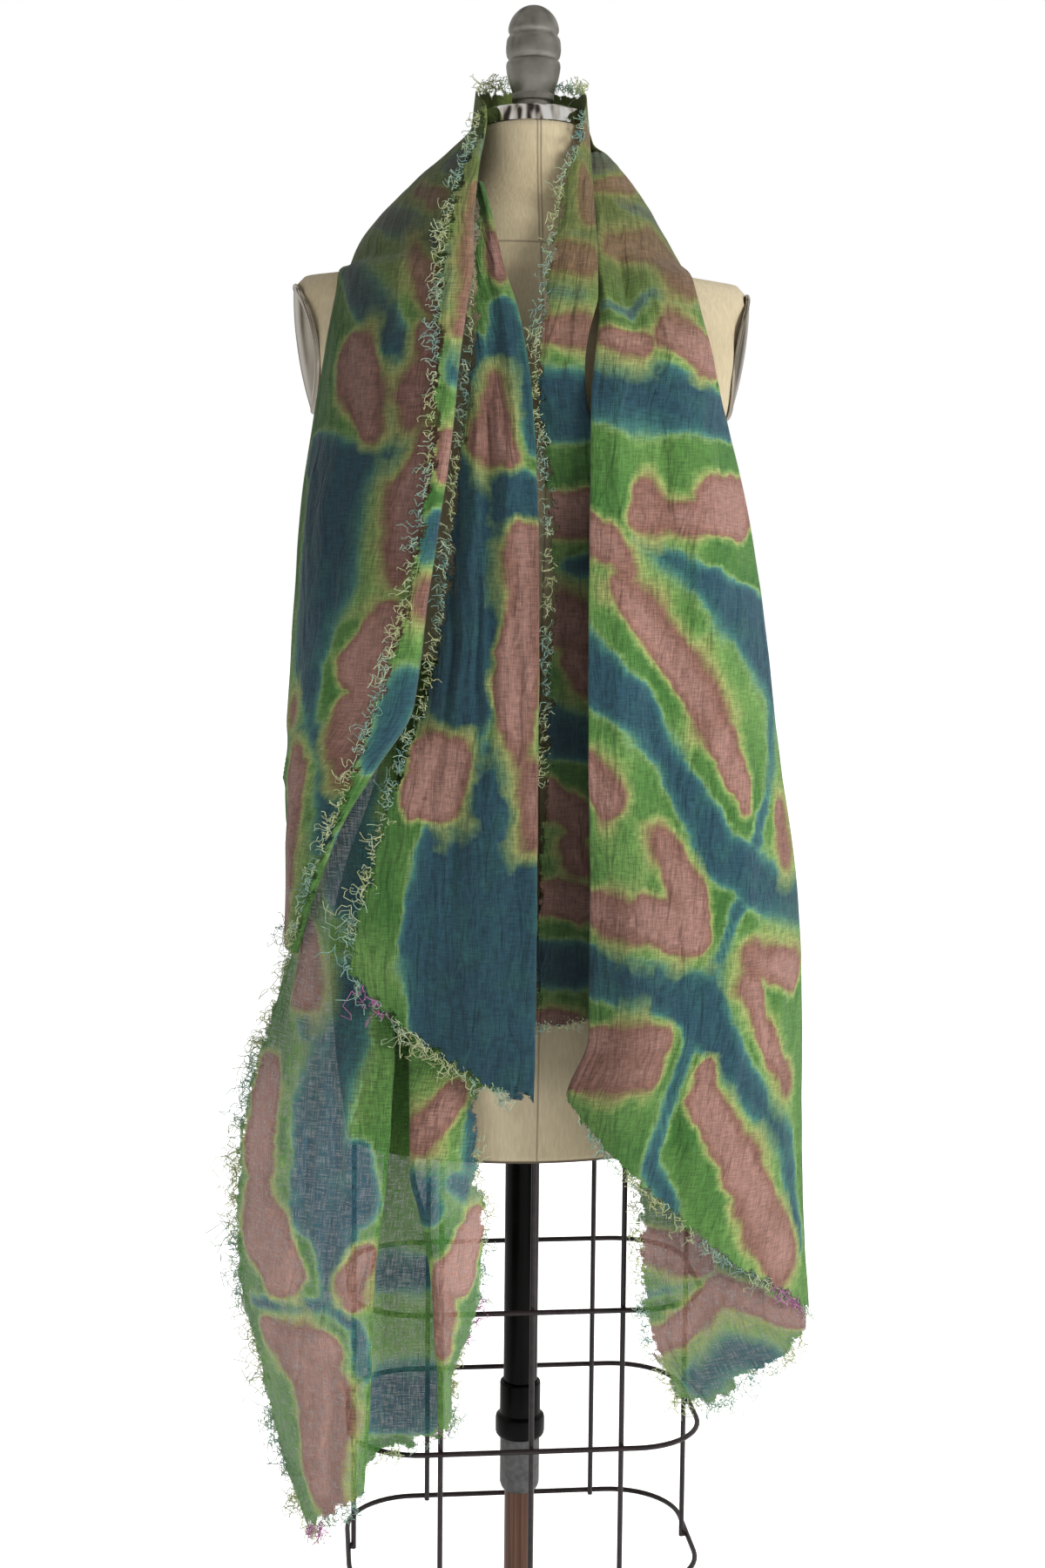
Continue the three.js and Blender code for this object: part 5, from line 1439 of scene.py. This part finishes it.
fray_tree, start = growing_tree(
    "curly fray", "Roots", "Threads", Thread_length=0.015, Thread_radius=0.00035, Curl=0.006,
    Curl_size=110.0)
coiled = add(fray_tree, "GeometryNodeCurveSpiral", {
    "Resolution": 9, "Rotations": 1.25, "Start Radius": 0.03, "End Radius": 0.24, "Height": 0.85})
outward = add(fray_tree, "GeometryNodeInputNamedAttribute", {"Name": "outward"}, data_type="FLOAT_VECTOR")
grow = add(fray_tree, "GeometryNodeInputNamedAttribute", {"Name": "grow"}, data_type="FLOAT")
tint = add(fray_tree, "GeometryNodeInputNamedAttribute", {"Name": "tint"}, data_type="FLOAT")
lean = add(fray_tree, "FunctionNodeAlignRotationToVector", {"Vector": outward}, axis="Z")
spin = add(fray_tree, "Math", (tint, 60.0), operation="MULTIPLY")
twirl = add(fray_tree, "FunctionNodeAxisAngleToRotation", {"Axis": (0, 0, 1), "Angle": spin})
turned = add(fray_tree, "FunctionNodeRotateRotation", {
    "Rotation": lean, "Rotate By": twirl}, rotation_space="LOCAL")
reach = add(fray_tree, "Math", (grow, start.outputs["Thread length"]), operation="MULTIPLY")
rooted = add(fray_tree, "GeometryNodeInstanceOnPoints", {
    "Points": start.outputs["Roots"], "Instance": coiled, "Rotation": turned, "Scale": reach})
real_lines = add(fray_tree, "GeometryNodeRealizeInstances", (rooted,))
place = add(fray_tree, "GeometryNodeInputPosition")
own = add(fray_tree, "Math", (tint, 1.7), operation="MULTIPLY")
apart = add(fray_tree, "VectorMath", (place, own), operation="ADD")
curls = add(fray_tree, "TexNoise", {"Vector": apart, "Scale": start.outputs["Curl size"], "Detail": 1.0})
centred = add(fray_tree, "VectorMath", {0: curls.outputs["Color"], 1: (0.5, 0.5, 0.5)},
              operation="SUBTRACT")
along = add(fray_tree, "GeometryNodeSplineParameter")
loosening = add(fray_tree, "Math", (along, start.outputs["Curl"]), operation="MULTIPLY")
amount = add(fray_tree, "Math", (loosening, 4.0), operation="MULTIPLY")
curled = add(fray_tree, "VectorMath", {0: centred, "Scale": amount}, operation="SCALE")
bent = add(fray_tree, "GeometryNodeSetPosition", {"Geometry": real_lines, "Offset": curled})
yarn = add(fray_tree, "GeometryNodeCurvePrimitiveCircle", {
    "Resolution": 3, "Radius": start.outputs["Thread radius"]})
spun = add(fray_tree, "GeometryNodeCurveToMesh", {
    "Curve": bent, "Profile Curve": yarn, "Fill Caps": True})
end_tree(fray_tree, spun, loose_thread)

root_spacing = 0.0016
thread_scatter = 0.45
curl_share = 0.42
threads = {}


def frayed(name, grid, side, length, seed, sag=0.3, patches=(), pink=(0.0, 0.0), rise=0.0, dense=1.0):
    """Loose threads of about a length along one side of a grid of cloth. patches are (from, to,
    factor) where threads are longer, and pink is the part of the edge dyed so, as shares."""
    lines = grid if side in ("top", "foot") else grid.transpose(1, 0, 2)
    edge, inner = (lines[0], lines[2]) if side in ("top", "first") else (lines[-1], lines[-3])
    chance = np.random.default_rng(seed)
    steps = np.linalg.norm(np.diff(edge, axis=0), axis=1)
    run = np.concatenate([[0], np.cumsum(steps)])
    count = int(dense * run[-1] / root_spacing)
    at = np.sort(chance.uniform(0, run[-1], count))
    roots = np.stack([np.interp(at, run, edge[:, k]) for k in range(3)], axis=1)
    insides = np.stack([np.interp(at, run, inner[:, k]) for k in range(3)], axis=1)
    out = roots - insides
    roots -= out * chance.uniform(0, 0.8, count)[:, None]
    out /= np.linalg.norm(out, axis=1)[:, None]
    out += chance.normal(0, thread_scatter, out.shape)
    out[:, 2] += rise - sag
    share = at / run[-1]
    grow = 0.4 + 0.85 * chance.uniform(0, 1, count) ** 1.5
    grow *= 0.75 + 0.35 * np.sin(at * 210 + seed) * np.sin(at * 83)
    for low, high, factor in patches:
        grow[(share > low) & (share < high)] *= factor
    tint = np.clip(0.5 + 0.32 * np.sin(at * 41 + seed) + chance.normal(0, 0.16, count), 0, 1)
    rosy = ((share > pink[0]) & (share < pink[1]) & (chance.uniform(0, 1, count) < 0.8)) * 1.0
    mesh = line_mesh(name + "_roots", roots)
    mesh.attributes.new("outward", "FLOAT_VECTOR", "POINT").data.foreach_set(
        "vector", out.astype(np.float32).ravel())
    for field, values in {"grow": grow, "tint": tint, "pink": rosy}.items():
        mesh.attributes.new(field, "FLOAT", "POINT").data.foreach_set("value", values.astype(np.float32))
    piece = grown("threads_" + name, ["fray_" + name], "loose_thread", mesh, fray_tree,
                  Thread_length=length, Curl=curl_share * length)
    piece.data.shade_smooth()
    threads[name] = piece


def between(stretch, low, high):
    """The columns of a stretch's grid from one plan point to another."""
    return stretch.grid[:, (stretch.places >= low) & (stretch.places <= high)]


frayed("nape", between(back, 0.3, 7.7), "top", 0.015, 1, sag=0, rise=0.1, dense=1.6)
frayed("left_front", left_front.grid, "last", 0.015, 2)
frayed("left_centre", left_centre.grid, "first", 0.017, 3, patches=[(0.9, 1, 1.8)])
frayed("left_centre_foot", between(left_centre, 0, 4), "foot", 0.022, 4, patches=[(0, 0.15, 1.3)],
       pink=(0.1, 0.3))
frayed("left_lower", left_lower.grid[left_lower.z[:, 0] < 870], "first", 0.024, 5, dense=1.3)
frayed("left_lower_end", left_lower.grid[left_lower.z[:, -1] < 700], "last", 0.015, 6, pink=(0.55, 0.75))
frayed("left_lower_foot", between(left_lower, 0, 3), "foot", 0.02, 7, pink=(0.1, 0.55))
frayed("left_valley_foot", between(left_lower, 5, 6), "foot", 0.013, 8)
frayed("left_tube_foot", between(left_lower, 8, 10), "foot", 0.015, 9, pink=(0.0, 0.3))
frayed("right_neck", right_neck.grid[right_neck.z[:, 0] > 985], "first", 0.015, 10)
frayed("right_neck_foot", right_neck.grid, "foot", 0.012, 11)
frayed("right_front_foot", between(right_front, 0, 4.8), "foot", 0.015, 12, pink=(0.05, 0.22))
frayed("right_under", right_under.grid[right_under.z[:, -1] < 800], "last", 0.014, 13)
frayed("right_under_foot", right_under.grid, "foot", 0.018, 14,
       patches=[(0.45, 0.55, 2.2), (0.9, 1, 1.6)])
